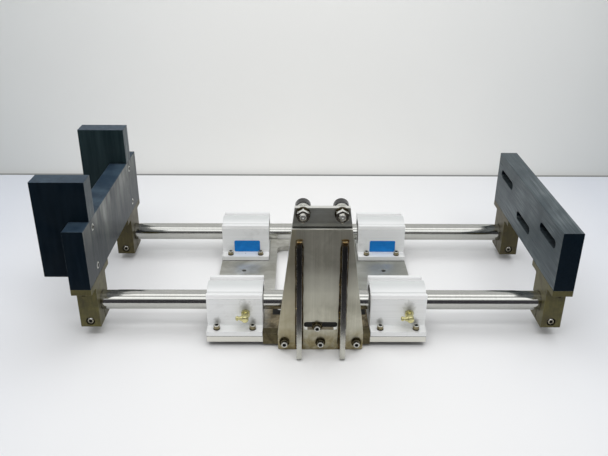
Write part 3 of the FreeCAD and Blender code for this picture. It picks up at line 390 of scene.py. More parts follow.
slateLook = dict(
    plainLook, specular=0.08, sheen=0.05, sheenRough=0.35, sheenTint=(0.80, 0.92, 1.0),
    dark=(0.015, 0.055, 0.090), light=(0.045, 0.098, 0.138),
    stain=(0.16, 0.185, 0.19), stainScale=14.0, stainCover=0.42, stainAmount=0.18, stainRough=0.05,
    speck=(0.50, 0.52, 0.52), speckScale=80.0, speckSize=0.06, speckShare=0.05,
    grimeAndShade=(0.030, 0.042, 0.050), grimeAndShadeReach=9 * mm, grimeAndShadeBreakup=90.0, grimeAndShadeAmount=0.9,
    edge=(0.36, 0.40, 0.42), edgeRadius=0.0010, edgeBreakup=250.0,
    rough=(0.26, 0.42), lineDepth=0.05, skinDepth=0.03,
)
upright, lengthwise = (160, 160, 14), (620, 18, 620)
slateFinger = makeFinish("slateFinger", dict(slateLook, stretch=upright, tint=slateRubAndSheen(upright)))
slateRear = makeFinish("slateRear", dict(
    slateLook, dark=(0.065, 0.120, 0.135), light=(0.150, 0.205, 0.215), stretch=(130, 130, 9),
    tint=slateRubAndSheen(upright),
))
slateEnd = makeFinish("slateEnd", dict(
    slateLook, stretch=lengthwise, grimeAndShadeReach=26 * mm, grimeAndShadeAmount=1.0,
    tint=slateRubAndSheen(lengthwise, top="endTop"),
))
slateCross = makeFinish("slateCross", dict(
    slateLook, stretch=upright,
    tint=slateRubAndSheen((48, 48, 14), 8.0, side="cross", lowEdge=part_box("cross_plate_left")[0].z),
))


# the sawn and faced ends of the shafts are duller than their ground sides
faced = dict(dark=(0.40, 0.40, 0.385), light=(0.52, 0.52, 0.50))


def shaftEnds(colour):
    rings = useGroup("stains", Scale=420.0, Cover=0.5, Softness=0.2)
    dull = blend(rings["Mask"], faced["dark"], faced["light"])
    return blend(useGroup("facing")["Side"], colour, dull)


shaftChrome = makeFinish("shaftChrome", dict(
    plainLook, metallic=1.0, tint=shaftEnds,
    dark=(0.71, 0.71, 0.69), light=(0.75, 0.75, 0.73), stretch=(900, 30, 30), contrast=0.3,
    grimeAndShade=(0.34, 0.27, 0.18), grimeAndShadeReach=6 * mm, grimeAndShadeBreakup=150.0, grimeAndShadeAmount=0.7,
    stain=(0.66, 0.64, 0.60), stainScale=22.0, stainCover=0.36, stainAmount=0.25, stainRough=0.12,
    edge=(0.94, 0.94, 0.93), rough=(0.09, 0.14), lineDepth=0.0015, skinDepth=0.0,
))

# a block's marks: the dark joint of its flange with the base plate, painted light on its dome and ridges, a painted
# shade line in the valley, painted highlight above the groove, and painted shadow and reflection above its fittings
joint = dict(
    height=0.9 * mm, lineAmount=0.85, colour=(0.22, 0.21, 0.18),
    groove=54.3 * mm, lipHeight=1.2 * mm, fade=0.2 * mm, lip=(1.0, 1.0, 1.0), strip=(0.985, 0.985, 0.985),
    domeSide=20.5 * mm, domeFrom=45 * mm, domeTo=50 * mm, dome=(0.985, 0.985, 0.985),
    crown=(0.82, 0.83, 0.83), ridgeFlat=(0.91, 0.915, 0.915),
    valleyFrom=5.6 * mm, valleyTo=0.2 * mm, valleyFade=0.5 * mm, valleyAmount=0.32, valley=(0.55, 0.56, 0.56),
)
fittingShade = dict(
    face=26 * mm, deepFrom=mm, deepTo=3 * mm, amount=0.62, colour=(0.34, 0.335, 0.29),
    portSide=14 * mm, portRise=2.5 * mm, portReach=9.5 * mm,
    screwSide=23 * mm, screwUp=20.5 * mm, screwReach=5.5 * mm,
)


# painted shadow and reflection of the screws and grease fitting, above them on each block's face
def blockFittingShade(parts):
    total = 0.0
    for hand, shaft in ((1, "shaft_front"), (-1, "shaft_rear")):
        axis = middle(shaft)
        faceY = axis.y - hand * fittingShade["face"]
        outside = spread(parts["Y"], faceY + hand * fittingShade["deepTo"], faceY + hand * fittingShade["deepFrom"])
        for side in ("left", "right"):
            centre = middle(f"pillow_block_front_{side}").x
            spots = [(centre + hand * fittingShade["portSide"], axis.z + fittingShade["portRise"], fittingShade["portReach"])]
            spots += [(centre + way * fittingShade["screwSide"], fittingShade["screwUp"], fittingShade["screwReach"]) for way in (-1, 1)]
            for x, z, reach in spots:
                spot = useGroup("shadeSpot", Spot=(x, 0, z), Reach=reach)
                total = calc("MAXIMUM", times(spot["Mask"], outside), total)
    return times(total, fittingShade["amount"])


def blockLines(colour):
    parts = placeParts()
    up, seat = parts["Z"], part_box("base_plate")[1].z
    groove, side, fade = joint["groove"], joint["domeSide"], joint["fade"]
    aside = calc("SUBTRACT", calc("ABSOLUTE", parts["Y"]), middle("shaft_rear").y)
    off = calc("ABSOLUTE", aside)
    # painted light: dome tones by how far each face looks up, brighter on the slopes and shaded on the crown
    level, steep = (useGroup("facing", Edge=edge)["Up"] for edge in (0.3, 0.68))
    top = times(level, spread(up, joint["domeFrom"], joint["domeTo"]))
    crown = blend(steep, joint["dome"], joint["crown"])
    outer = spread(off, side - 2 * fade, side)
    colour = blend(top, colour, blend(outer, crown, joint["ridgeFlat"]))
    # painted shade line in the valley beside the dome
    valley = between(off, side - joint["valleyFrom"], side - joint["valleyTo"], joint["valleyFade"])
    valley = times(times(valley, top), joint["valleyAmount"])
    colour = blend(valley, colour, joint["valley"])
    # painted highlight on the upright strip above the groove and on its lip
    flank = times(spread(useGroup("facing")["Side"], 1.0, 0.0), calc("SUBTRACT", 1.0, top))
    strip = times(spread(up, groove - fade, groove), flank)
    colour = blend(strip, colour, joint["strip"])
    lip = times(between(up, groove, groove + joint["lipHeight"], fade), flank)
    colour = blend(lip, colour, joint["lip"])
    # painted shadow and reflection above the fittings
    colour = blend(blockFittingShade(parts), colour, fittingShade["colour"])
    line = spread(up, seat + joint["height"], seat + 0.6 * joint["height"], 0.0, joint["lineAmount"])
    return blend(line, colour, joint["colour"])


blockSatin = makeFinish("blockSatin", dict(
    plainLook | grimeAndShadeLook, metallic=0.2, grimeAndShadeReach=1.6 * mm, grimeAndShadeAmount=0.4,
    dark=(0.905, 0.91, 0.91), light=(0.955, 0.96, 0.96), stretch=(6, 700, 700), contrast=0.28,
    stain=(0.72, 0.72, 0.70), stainScale=45.0, stainCover=0.34, stainSoftness=0.1,
    edge=(0.98, 0.98, 0.98), edgeAmount=0.6, tint=blockLines,
    speck=(0.30, 0.28, 0.24), speckScale=85.0, speckSize=0.075, speckShare=0.12,
    rough=(0.48, 0.60), lineDepth=0.012, skinDepth=0.008,
))
# the supports: near-black grime with painted shade in their recesses
bronzeLook = dict(
    plainLook | grimeAndShadeLook, metallic=0.35, grimeAndShade=(0.035, 0.03, 0.02), grimeAndShadeReach=5 * mm, grimeAndShadeAmount=0.95,
    dark=(0.315, 0.295, 0.15), light=(0.395, 0.375, 0.205), stretch=(400, 400, 60),
    stain=(0.20, 0.18, 0.13), stainScale=60.0, stainCover=0.48, stainAmount=0.6,
    edge=(0.62, 0.60, 0.48), edgeAmount=0.6,
    rough=(0.36, 0.50), skinDepth=0.05, skinScale=1500.0,
)
supportBronze = makeFinish("supportBronze", bronzeLook)
# the rear supports: a darker copy of the same bronze, as painted shade
supportShaded = makeFinish("supportShaded", dict(bronzeLook, dark=(0.25, 0.225, 0.115), light=(0.325, 0.295, 0.155)))

# brown heat on the base plate behind the bar, near-black painted shade behind the bracket, pale sawn front edges,
# darker towards the right of the bracket, and painted shade on the faces that look down
baseHeatAndShade = dict(
    brownFrom=56 * mm, brownTo=66 * mm, brownDark=(0.40, 0.36, 0.28), brownLight=(0.64, 0.59, 0.48),
    heatFrom=64 * mm, heatTo=82 * mm, side=47 * mm, black=(0.02, 0.018, 0.014), shadeMottle=(0.075, 0.065, 0.05),
    edgeFrom=40 * mm, edgeFade=3 * mm, edgeSide=62 * mm, edgeSideFade=2 * mm,
    dullFrom=20 * mm, dullTo=75 * mm, dullAmount=0.6, dull=(0.60, 0.61, 0.59),
    sawnTo=3 * mm, sawn=(0.88, 0.875, 0.84), under=(0.16, 0.15, 0.12),
)


def baseTint(colour):
    parts = placeParts()
    facing = useGroup("facing")
    mottle = useGroup("stains", Scale=95.0, Cover=0.5, Softness=0.12)["Mask"]
    right = calc("SUBTRACT", parts["X"], middle("bracket_plate").x)
    aside = calc("ABSOLUTE", right)
    behindWeld = calc("SUBTRACT", parts["Y"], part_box("bar_weld")[0].y)
    dull = spread(right, baseHeatAndShade["dullFrom"], baseHeatAndShade["dullTo"], 0.0, baseHeatAndShade["dullAmount"])
    colour = blend(dull, colour, baseHeatAndShade["dull"])
    near = spread(behindWeld, baseHeatAndShade["brownTo"], baseHeatAndShade["brownFrom"])
    heat = times(near, spread(aside, baseHeatAndShade["heatTo"], baseHeatAndShade["heatFrom"]))
    colour = blend(heat, colour, blend(mottle, baseHeatAndShade["brownDark"], baseHeatAndShade["brownLight"]))
    behindBar = spread(aside, baseHeatAndShade["side"], 0.94 * baseHeatAndShade["side"])
    rim = times(spread(behindWeld, baseHeatAndShade["edgeFrom"] - baseHeatAndShade["edgeFade"], baseHeatAndShade["edgeFrom"]),
                spread(aside, baseHeatAndShade["edgeSide"] + baseHeatAndShade["edgeSideFade"], baseHeatAndShade["edgeSide"]))
    # near-black painted shade, mottled, on the base plate behind the bracket
    black = times(near, calc("MAXIMUM", behindBar, rim))
    colour = blend(black, colour, blend(mottle, baseHeatAndShade["black"], baseHeatAndShade["shadeMottle"]))
    inFront = calc("SUBTRACT", parts["Y"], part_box("base_plate")[0].y)
    sawn = times(spread(inFront, baseHeatAndShade["sawnTo"], 0.5 * baseHeatAndShade["sawnTo"]), spread(facing["Up"], 1.0, 0.0))
    colour = blend(sawn, colour, baseHeatAndShade["sawn"])
    # painted shade on the faces that look down
    return blend(facing["Down"], colour, baseHeatAndShade["under"])


baseMill = makeFinish("baseMill", dict(
    plainLook | grimeAndShadeLook, metallic=0.85,
    dark=(0.77, 0.77, 0.75), light=(0.86, 0.86, 0.84), stretch=(14, 500, 500), contrast=0.3,
    stain=(0.46, 0.44, 0.36), stainScale=26.0, stainCover=0.50, stainAmount=0.55, stainRough=0.15,
    edge=(0.84, 0.84, 0.82), tint=baseTint, rough=(0.32, 0.46),
))

# near-black painted shade on top of the bar, behind the middle of the bracket
barShade = dict(side=24 * mm, fade=16 * mm, colour=(0.03, 0.027, 0.02))


def barShadeTint(colour):
    across, centre = placeParts()["X"], middle("bracket_plate").x
    inside = between(across, centre - barShade["side"], centre + barShade["side"], barShade["fade"])
    return blend(times(inside, useGroup("facing")["Up"]), colour, barShade["colour"])


barSteel = makeFinish("barSteel", dict(
    plainLook | grimeAndShadeLook, metallic=0.85, tint=barShadeTint,
    dark=(0.38, 0.35, 0.26), light=(0.52, 0.49, 0.37), stretch=(14, 500, 500), contrast=0.3,
    stain=(0.20, 0.16, 0.10), stainScale=60.0, stainCover=0.50, stainAmount=0.7, stainRough=0.2,
    edge=(0.72, 0.70, 0.60), rough=(0.34, 0.5), lineDepth=0.03, skinDepth=0.03,
))

# nearness to the two ribs, for the heat tint beside their welds
ribs = dict(
    left=middle("bracket_rib_left").x, right=middle("bracket_rib_right").x, top=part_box("bracket_rib_left")[1].z,
    reach=7 * mm, full=3.5 * mm, amount=0.62, topFade=2 * mm,
    rearFrom=0.5 * mm, rearTo=0.2 * mm, rearShare=0.6,
    strawFrom=2 * mm, strawTo=26 * mm, strawAmount=0.7, straw=(0.66, 0.60, 0.42),
)


def ribTint(colour):
    parts = placeParts()
    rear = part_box("bracket_plate")[1].y
    gaps = [calc("ABSOLUTE", calc("SUBTRACT", parts["X"], ribs[side])) for side in ("left", "right")]
    near = spread(calc("MINIMUM", *gaps), ribs["reach"], ribs["full"], 0.0, ribs["amount"])
    near = times(near, spread(parts["Y"], rear - ribs["rearFrom"], rear - ribs["rearTo"], 1.0, ribs["rearShare"]))
    below = spread(parts["Z"], ribs["top"] + ribs["topFade"], ribs["top"])
    tint = useGroup("heatTint", Nearness=times(near, below), Breakup=90.0)
    foot = useGroup("stains", Scale=70.0, Cover=0.55, Softness=0.12)
    low = spread(parts["Z"], ribs["strawTo"], ribs["strawFrom"], 0.0, ribs["strawAmount"])
    colour = blend(times(foot["Mask"], low), colour, ribs["straw"])
    return blend(tint["Mask"], colour, tint["Color"])


# painted highlight on the faces that look up, brightest on rounded corners
topHighlight = dict(rounded=(1.0, 1.0, 0.99), flat=(0.84, 0.84, 0.82))


def brightTop(colour, flat=topHighlight["flat"]):
    colour = blend(useGroup("facing", Edge=0.25)["Up"], colour, topHighlight["rounded"])
    return blend(useGroup("facing", Edge=0.69)["Up"], colour, flat)


# the lower side of the bracket's slot: grime with painted shade in its middle, and a painted highlight at its ends
slot = dict(
    side=21.5 * mm, low=22 * mm, high=29 * mm, brightFrom=16 * mm, brightTo=17.2 * mm,
    sideFade=0.5 * mm, upFade=0.3 * mm, metal=0.8, grimeAndShade=(0.50, 0.46, 0.37), bright=(1.0, 1.0, 0.98),
)


def slotMasks():
    parts = placeParts()
    off = calc("ABSOLUTE", calc("SUBTRACT", parts["X"], middle("bracket_plate").x))
    inside = times(spread(off, slot["side"] + slot["sideFade"], slot["side"]),
                   between(parts["Z"], slot["low"], slot["high"], slot["upFade"]))
    floor = times(inside, useGroup("facing", Edge=0.3)["Up"])
    return floor, spread(off, slot["brightFrom"], slot["brightTo"])


def slotMetal():
    return spread(slotMasks()[0], 0.0, 1.0, slot["metal"], 0.0)


# the bracket's front has a pale painted reflection at its waist and is warm beside the left rib, its foot is
# stained, its upward faces carry a painted highlight, less low down, and its upper edge's rear half is black as
# painted shade
agedAndLit = dict(
    frontFrom=mm, frontTo=2 * mm,
    waistLow=76 * mm, waistHigh=98 * mm, waistFade=18 * mm, waistAmount=0.55, waist=(0.95, 0.945, 0.88),
    warmFrom=2 * mm, warmTo=6 * mm, warmAmount=0.4, warm=(0.64, 0.585, 0.42),
    footFrom=30 * mm, footTo=2 * mm, footAmount=0.6, foot=(0.42, 0.37, 0.21),
    flatFrom=60 * mm, flatTo=70 * mm, lowFlat=(0.70, 0.69, 0.63),
    rearFrom=2.6 * mm, rearTo=3.4 * mm, crestFrom=1.2 * mm, crestTo=0.6 * mm, crest=(0.05, 0.045, 0.035),
)


def bracketTint(colour):
    low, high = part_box("bracket_plate")
    parts = placeParts()
    up = parts["Z"]
    colour = ribTint(colour)
    front = spread(parts["Y"], low.y + agedAndLit["frontTo"], low.y + agedAndLit["frontFrom"])
    # painted reflection: a pale band across the waist of the front
    waist = between(up, agedAndLit["waistLow"], agedAndLit["waistHigh"], agedAndLit["waistFade"])
    waist = times(times(waist, agedAndLit["waistAmount"]), front)
    colour = blend(waist, colour, agedAndLit["waist"])
    left = calc("SUBTRACT", ribs["left"], parts["X"])
    warm = spread(left, agedAndLit["warmFrom"], agedAndLit["warmTo"], 0.0, agedAndLit["warmAmount"])
    colour = blend(times(warm, front), colour, agedAndLit["warm"])
    patches = useGroup("stains", Scale=120.0, Cover=0.5, Softness=0.12)
    foot = spread(up, agedAndLit["footFrom"], agedAndLit["footTo"], 0.0, agedAndLit["footAmount"])
    colour = blend(times(patches["Mask"], foot), colour, agedAndLit["foot"])
    # painted highlight on faces that look up, less of it low down
    flat = blend(spread(up, agedAndLit["flatFrom"], agedAndLit["flatTo"]), agedAndLit["lowFlat"], topHighlight["flat"])
    colour = brightTop(colour, flat)
    floor, ends = slotMasks()
    # grime with painted shade in the slot's middle, painted highlight at its ends
    colour = blend(floor, colour, blend(ends, slot["grimeAndShade"], slot["bright"]))
    # painted shade: the rear half of the upper edge is near black
    rear = spread(parts["Y"], low.y + agedAndLit["rearFrom"], low.y + agedAndLit["rearTo"])
    crest = spread(up, high.z - agedAndLit["crestFrom"], high.z - agedAndLit["crestTo"])
    return blend(times(rear, crest), colour, agedAndLit["crest"])


# ribs: painted darker higher up as a dark reflection; the weld runs round each rib's top and leaves it straw
# coloured there
ribHeatAndReflection = dict(
    smokeFrom=138 * mm, smokeTo=150 * mm, smokeAmount=0.6, capAmount=0.75, cap=(0.48, 0.44, 0.34),
    darkFrom=40 * mm, darkTo=112 * mm, darkAmount=0.9, dark=(0.30, 0.30, 0.28),
)


def ribHeatAndReflectionTint(colour):
    up = placeParts()["Z"]
    # painted dark reflection, darker higher up
    rise = spread(up, ribHeatAndReflection["darkFrom"], ribHeatAndReflection["darkTo"], 0.0, ribHeatAndReflection["darkAmount"])
    colour = blend(rise, colour, ribHeatAndReflection["dark"])
    near = spread(up, ribHeatAndReflection["smokeFrom"], ribHeatAndReflection["smokeTo"], 0.0, ribHeatAndReflection["smokeAmount"])
    tint = useGroup("heatTint", Nearness=near, Breakup=140.0)
    colour = blend(tint["Mask"], colour, tint["Color"])
    cap = times(useGroup("facing")["Up"], ribHeatAndReflection["capAmount"])
    return blend(cap, colour, ribHeatAndReflection["cap"])


steelLook = dict(
    plainLook, metallic=1.0,
    dark=(0.65, 0.642, 0.585), light=(0.755, 0.748, 0.69), stretch=(700, 700, 9), contrast=0.3,
    stain=(0.46, 0.44, 0.36), stainScale=34.0, stainCover=0.44, stainAmount=0.4, stainRough=0.12,
    edge=(0.84, 0.83, 0.79), rough=(0.26, 0.40), skinDepth=0.0,
)
bracketSteel = makeFinish("bracketSteel", dict(
    steelLook | grimeAndShadeLook, metallic=slot["metal"], metalMap=slotMetal, tint=bracketTint,
    dark=(0.70, 0.692, 0.634), light=(0.81, 0.802, 0.74), edgeRadius=0.0011, edgeAmount=0.9,
    grimeAndShade=(0.15, 0.115, 0.06), grimeAndShadeReach=4.5 * mm, grimeAndShadeAmount=0.7,
    speck=(0.16, 0.15, 0.13), speckScale=70.0, speckSize=0.07, speckShare=0.08,
))
ribSteel = makeFinish("ribSteel", dict(
    steelLook, tint=ribHeatAndReflectionTint, dark=(0.72, 0.72, 0.69), light=(0.82, 0.82, 0.79), stretch=(400, 400, 8),
    contrast=0.45, rough=(0.15, 0.20), lineDepth=0.004, edgeRadius=0.0009, edgeAmount=0.9,
))
rollerPlateSteel = makeFinish("rollerPlateSteel", dict(
    steelLook | grimeAndShadeLook, metallic=0.72, dark=(0.58, 0.585, 0.56), light=(0.68, 0.685, 0.66), stretch=(9, 700, 700),
    edgeRadius=0.0009, grimeAndShadeReach=2 * mm, tint=brightTop,
))
weldSteel = makeFinish("weldSteel", dict(
    steelLook, dark=(0.20, 0.165, 0.11), light=(0.46, 0.40, 0.27), stretch=(120, 120, 120), contrast=0.2,
    stain=(0.10, 0.08, 0.055), stainScale=130.0, stainCover=0.5, stainAmount=0.8, rough=(0.30, 0.48),
    speck=(0.82, 0.70, 0.40), speckScale=190.0, speckSize=0.3, speckShare=0.22,
    edgeAmount=0.1, skinDepth=0.05,
))
# the roller plate's weld: nearly black, as painted shade in the joint
weldBlack = makeFinish("weldBlack", dict(
    steelLook, dark=(0.05, 0.045, 0.035), light=(0.14, 0.125, 0.10), stretch=(120, 120, 120), rough=(0.4, 0.55),
    stain=(0.03, 0.025, 0.02), stainScale=130.0, edge=(0.30, 0.27, 0.21), edgeAmount=0.1, skinDepth=0.05,
))
rollerSteel = makeFinish("rollerSteel", dict(
    steelLook, dark=(0.19, 0.19, 0.195), light=(0.27, 0.27, 0.275), stretch=(40, 900, 40),
    stain=(0.20, 0.18, 0.15), stainScale=120.0, rough=(0.20, 0.32), edge=(0.75, 0.75, 0.73),
))
bearingSteel = makeFinish("bearingSteel", dict(
    steelLook, dark=(0.66, 0.66, 0.65), light=(0.74, 0.74, 0.73), stretch=(600, 40, 40), rough=(0.16, 0.26),
))
screwSteel = makeFinish("screwSteel", dict(
    steelLook, metallic=0.85, dark=(0.78, 0.78, 0.75), light=(0.89, 0.89, 0.87), stretch=(500, 500, 500),
    stain=(0.40, 0.38, 0.33), stainScale=200.0, stainCover=0.42, stainAmount=0.35,
    edge=(0.92, 0.92, 0.90), edgeRadius=0.0002, edgeBreakup=1500.0, rough=(0.20, 0.34),
))
# the knurled sides of screw heads: darker, as painted shade
knurlShaded = makeFinish("knurlShaded", dict(
    steelLook, metallic=0.85, dark=(0.30, 0.295, 0.275), light=(0.50, 0.49, 0.46), stretch=(500, 500, 500),
    stain=(0.16, 0.14, 0.10), stainScale=200.0, stainCover=0.5, stainAmount=0.6,
    edge=(0.80, 0.79, 0.75), edgeRadius=0.0002, edgeBreakup=1500.0, rough=(0.28, 0.42),
))
# hexagon sockets: nearly black, as painted shade in the recess, with grime
socketShadeAndGrime = makeFinish("socketShadeAndGrime", dict(
    steelLook, metallic=0.3, dark=(0.06, 0.06, 0.055), light=(0.12, 0.115, 0.105), stretch=(800, 800, 800),
    stain=(0.03, 0.03, 0.03), stainScale=400.0, rough=(0.5, 0.7), edge=(0.35, 0.35, 0.33),
    edgeRadius=0.00015, edgeAmount=0.3,
))
nutSteel = makeFinish("nutSteel", dict(
    steelLook, tint=brightTop, dark=(0.54, 0.52, 0.46), light=(0.70, 0.68, 0.61), stretch=(300, 300, 300),
    stain=(0.40, 0.36, 0.27), stainScale=160.0, stainAmount=0.25, edge=(0.97, 0.96, 0.93), edgeRadius=0.0003,
    edgeBreakup=600.0, edgeAmount=0.8, rough=(0.11, 0.20),
))
washerStraw = makeFinish("washerStraw", dict(
    steelLook, dark=(0.26, 0.23, 0.16), light=(0.40, 0.36, 0.25), stretch=(400, 400, 400),
    stain=(0.10, 0.085, 0.06), stainScale=260.0, stainCover=0.55, stainAmount=0.8, rough=(0.24, 0.40),
    edge=(0.66, 0.60, 0.42), edgeRadius=0.00025, edgeBreakup=900.0, edgeAmount=0.7,
))
washerSteel = makeFinish("washerSteel", dict(
    steelLook, metallic=0.85, dark=(0.50, 0.46, 0.35), light=(0.72, 0.68, 0.55), stretch=(400, 400, 400),
    stain=(0.20, 0.16, 0.10), stainScale=260.0, stainCover=0.45, stainAmount=0.6, rough=(0.24, 0.40),
    edge=(0.90, 0.86, 0.72), edgeRadius=0.00025, edgeBreakup=900.0, edgeAmount=0.8,
))
fittingBrass = makeFinish("fittingBrass", dict(
    steelLook, dark=(0.80, 0.77, 0.54), light=(0.90, 0.88, 0.68), stretch=(400, 400, 400),
    stain=(0.50, 0.46, 0.27), stainScale=220.0, stainCover=0.42,
    edge=(0.98, 0.96, 0.82), edgeRadius=0.0003, edgeBreakup=1200.0, edgeAmount=0.8,
    rough=(0.22, 0.34), skinDepth=0.02,
))
sealRubber = makeFinish("sealRubber", dict(
    plainLook, dark=(0.045, 0.045, 0.045), light=(0.07, 0.07, 0.07), stretch=(500, 500, 500),
    stain=(0.16, 0.15, 0.14), stainScale=200.0, edge=(0.16, 0.16, 0.16), rough=(0.5, 0.65),
))
cagePlastic = makeFinish("cagePlastic", dict(
    plainLook, dark=(0.72, 0.71, 0.66), light=(0.78, 0.77, 0.73), stretch=(200, 200, 200),
    stain=(0.45, 0.42, 0.34), stainScale=150.0, edge=(0.85, 0.84, 0.80), rough=(0.4, 0.5),
))
labelBlue = makeFinish("labelBlue", dict(
    plainLook, specular=0.2, dark=(0.03, 0.45, 0.77), light=(0.08, 0.53, 0.84), stretch=(60, 200, 200),
    contrast=0.4, stain=(0.00, 0.38, 0.70), stainScale=60.0, stainCover=0.42, stainAmount=0.5,
    edge=(0.45, 0.65, 0.85), edgeRadius=0.0004, edgeBreakup=500.0, edgeAmount=0.7,
    rough=(0.26, 0.36), lineDepth=0.0, skinDepth=0.01,
))

# finish of each kind of part, by how its name begins
finishes = (
    ("shaft_support_rear", supportShaded), ("shaft_support", supportBronze), ("shaft_seals", sealRubber),
    ("shaft_", shaftChrome), ("pillow_block", blockSatin), ("bearing_sleeve", bearingSteel),
    ("ball_cage", cagePlastic), ("snap_rings", bearingSteel), ("end_plate", slateEnd), ("cross_plate", slateCross),
    ("finger_screws", screwSteel), ("finger_rear", slateRear), ("finger_", slateFinger), ("base_plate", baseMill),
    ("mounting_bar", barSteel), ("bar_weld", weldSteel), ("rib_welds", weldSteel), ("bracket_plate", bracketSteel),
    ("bracket_rib", ribSteel), ("roller_plate_weld", weldBlack), ("roller_plate", rollerPlateSteel),
    ("roller_left", rollerSteel), ("roller_right", rollerSteel), ("roller_needles", bearingSteel),
    ("roller_nuts", nutSteel), ("grease_", fittingBrass), ("bracket_lock", washerSteel),
    ("bracket_flat", washerStraw), ("block_lock", washerStraw), ("roller_lock", washerStraw),
)
for name, part in nodes.items():
    finish = next((choice for start, choice in finishes if name.startswith(start)), screwSteel)
    for place in part.material_slots:
        place.material = finish
print("finishes on the parts:", len(bpy.data.materials))


# mesh helpers: a local frame whose X axis runs along the given direction
def axisFrame(place, direction):
    along = Vector(direction).normalized()
    side = along.orthogonal().normalized()
    if abs(along.z) < 0.9:
        side = Vector((0, 0, 1)).cross(along).normalized()
    return Matrix.Translation(place) @ Matrix((along, side, along.cross(side))).transposed().to_4x4()


# faces between rings of points, and over the first and last ring unless those two meet
def joinRings(bm, rings, closed=False, finishNumbers=None):
    numbers = finishNumbers or [0] * len(rings)
    for number, first, second in zip(numbers, rings, rings[1:] + rings[:closed]):
        for step in range(len(first)):
            after = (step + 1) % len(first)
            bm.faces.new((first[step], first[after], second[after], second[step])).material_index = number
    if not closed:
        bm.faces.new(rings[0]).material_index = numbers[0]
        bm.faces.new(rings[-1])


# rings of points round X, joined to each other; places and radii may change with the angle
def lathe(bm, rows, place, steps=32, closed=False):
    rings = []
    for row in rows:
        ring = []
        for step in range(steps):
            angle = 2 * math.pi * step / steps
            along, radius = (part(angle) if callable(part) else part for part in row[:2])
            ring.append(bm.verts.new(place @ Vector((along, radius * math.cos(angle), radius * math.sin(angle)))))
        rings.append(ring)
    joinRings(bm, rings, closed, [row[2] if len(row) > 2 else 0 for row in rows])


def hexagonReach(flats):
    return lambda angle: flats / 2 / math.cos((angle + math.pi / 6) % (math.pi / 3) - math.pi / 6)


# the sides of a hexagon with chamfered corners
def hexagonRows(flats, thick):
    reach, flat = hexagonReach(flats), flats / 2 - 0.1 * mm
    drop = lambda angle: (reach(angle) - flats / 2) * 0.6
    return [(0, flat), (drop, reach), (lambda angle: thick - drop(angle), reach), (thick, flat)]


# a hexagon socket, sunk from the given top
def socketRows(top, depth, flats, rim):
    reach = hexagonReach(flats)
    return [(top + depth, lambda angle: 0.2 * reach(angle), 1), (top + depth - 0.4 * mm, reach, 1),
            (top + 0.25 * mm, reach, 1), (top, flats / math.sqrt(3) + rim)]


def meshObject(name, bm, materials):
    mesh = bpy.data.meshes.new(name)
    bm.to_mesh(mesh)
    bm.free()
    for material in materials:
        mesh.materials.append(material)
    made = bpy.data.objects.new(name, mesh)
    scene.collection.objects.link(made)
    return made


# a finished piece from a bmesh: smooth on curves, crisp on edges
def addPiece(name, bm, body, materials, replaced=(), sharp=32):
    bmesh.ops.recalc_face_normals(bm, faces=bm.faces)
    piece = meshObject(name, bm, materials)
    piece.data.shade_smooth()
    piece.data.set_sharp_from_angle(angle=math.radians(sharp))
    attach(piece, body)
    if replaced:
        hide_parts(*replaced)


# a helical thread as radii for lathe rows
def threadRows(start, end, radius, pitch, depth, finishNumber=0):
    rows = []
    count = int((end - start) / pitch * 6)
    for number in range(count + 1):
        along = start + (end - start) * number / count
        wave = lambda angle, along=along: abs(2 * ((along / pitch - angle / (2 * math.pi)) % 1) - 1)
        rows.append((along, lambda angle, wave=wave: radius - depth * wave(angle), finishNumber))
    return rows


def fourOf(kind):
    return [f"{kind}_{end}_{side}" for end in ("front", "rear") for side in ("left", "right")]


# the shaft that a block or support sits on
def shaftOf(name):
    return middle("shaft_front" if "front" in name else "shaft_rear")


# socket head screws: knurled heads with a hexagon socket
smallScrew = inMm(radius=2.415, headRadius=3.96, headHeight=4.83, flats=3.97, bevel=0.45, socketDepth=2.65,
                  socketRim=0.12, knurl=0.16, pitch=1.06, threadDepth=0.45)
smallScrew["teeth"] = 24
bigScrew = smallScrew | inMm(
    radius=3.175, headRadius=4.7625, headHeight=6.35, flats=4.76, socketDepth=3.5, pitch=1.27)


def socketScrew(bm, seat, direction, length, size, threaded=0.0):
    tall, head, bevel = size["headHeight"], size["headRadius"], size["bevel"]
    knurled = lambda angle: head - size["knurl"] * (0.5 - 0.5 * math.cos(size["teeth"] * angle))
    rows = socketRows(-tall, size["socketDepth"], size["flats"], size["socketRim"])
    rows += [(-tall, head - bevel), (-tall + 0.15 * bevel, head - 0.5 * bevel),
             (-tall + 0.6 * bevel, head - 0.1 * bevel), (-tall + 1.2 * bevel, knurled, 2), (-0.5 * mm, knurled, 2),
             (-0.15 * mm, head - 0.1 * mm), (0, head - 0.2 * mm), (0, size["radius"])]
    if threaded:
        rows += threadRows(length - threaded, length - 0.5 * mm, size["radius"], size["pitch"], size["threadDepth"])
    rows += [(length - 0.4 * mm, size["radius"] - 0.1 * mm), (length, size["radius"] - 0.5 * mm)]
    lathe(bm, rows, axisFrame(seat, direction), 48)


blocks = dict(
    inMm(boltAlong=46.0, boltAcross=68.3, screwLength=15.8775, faceWidth=52.0), names=fourOf("pillow_block"),
)
bm = bmesh.new()
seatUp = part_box("block_lock_washers")[1].z
for name in blocks["names"]:
    centre = middle(name)
    for along in (-0.5, 0.5):
        for across in (-0.5, 0.5):
            spot = (centre.x + along * blocks["boltAlong"], shaftOf(name).y + across * blocks["boltAcross"], seatUp)
            socketScrew(bm, spot, (0, 0, -1), blocks["screwLength"], smallScrew)
addPiece("blockScrews", bm, "carriage", [screwSteel, socketShadeAndGrime, washerSteel], ["block_screws"])

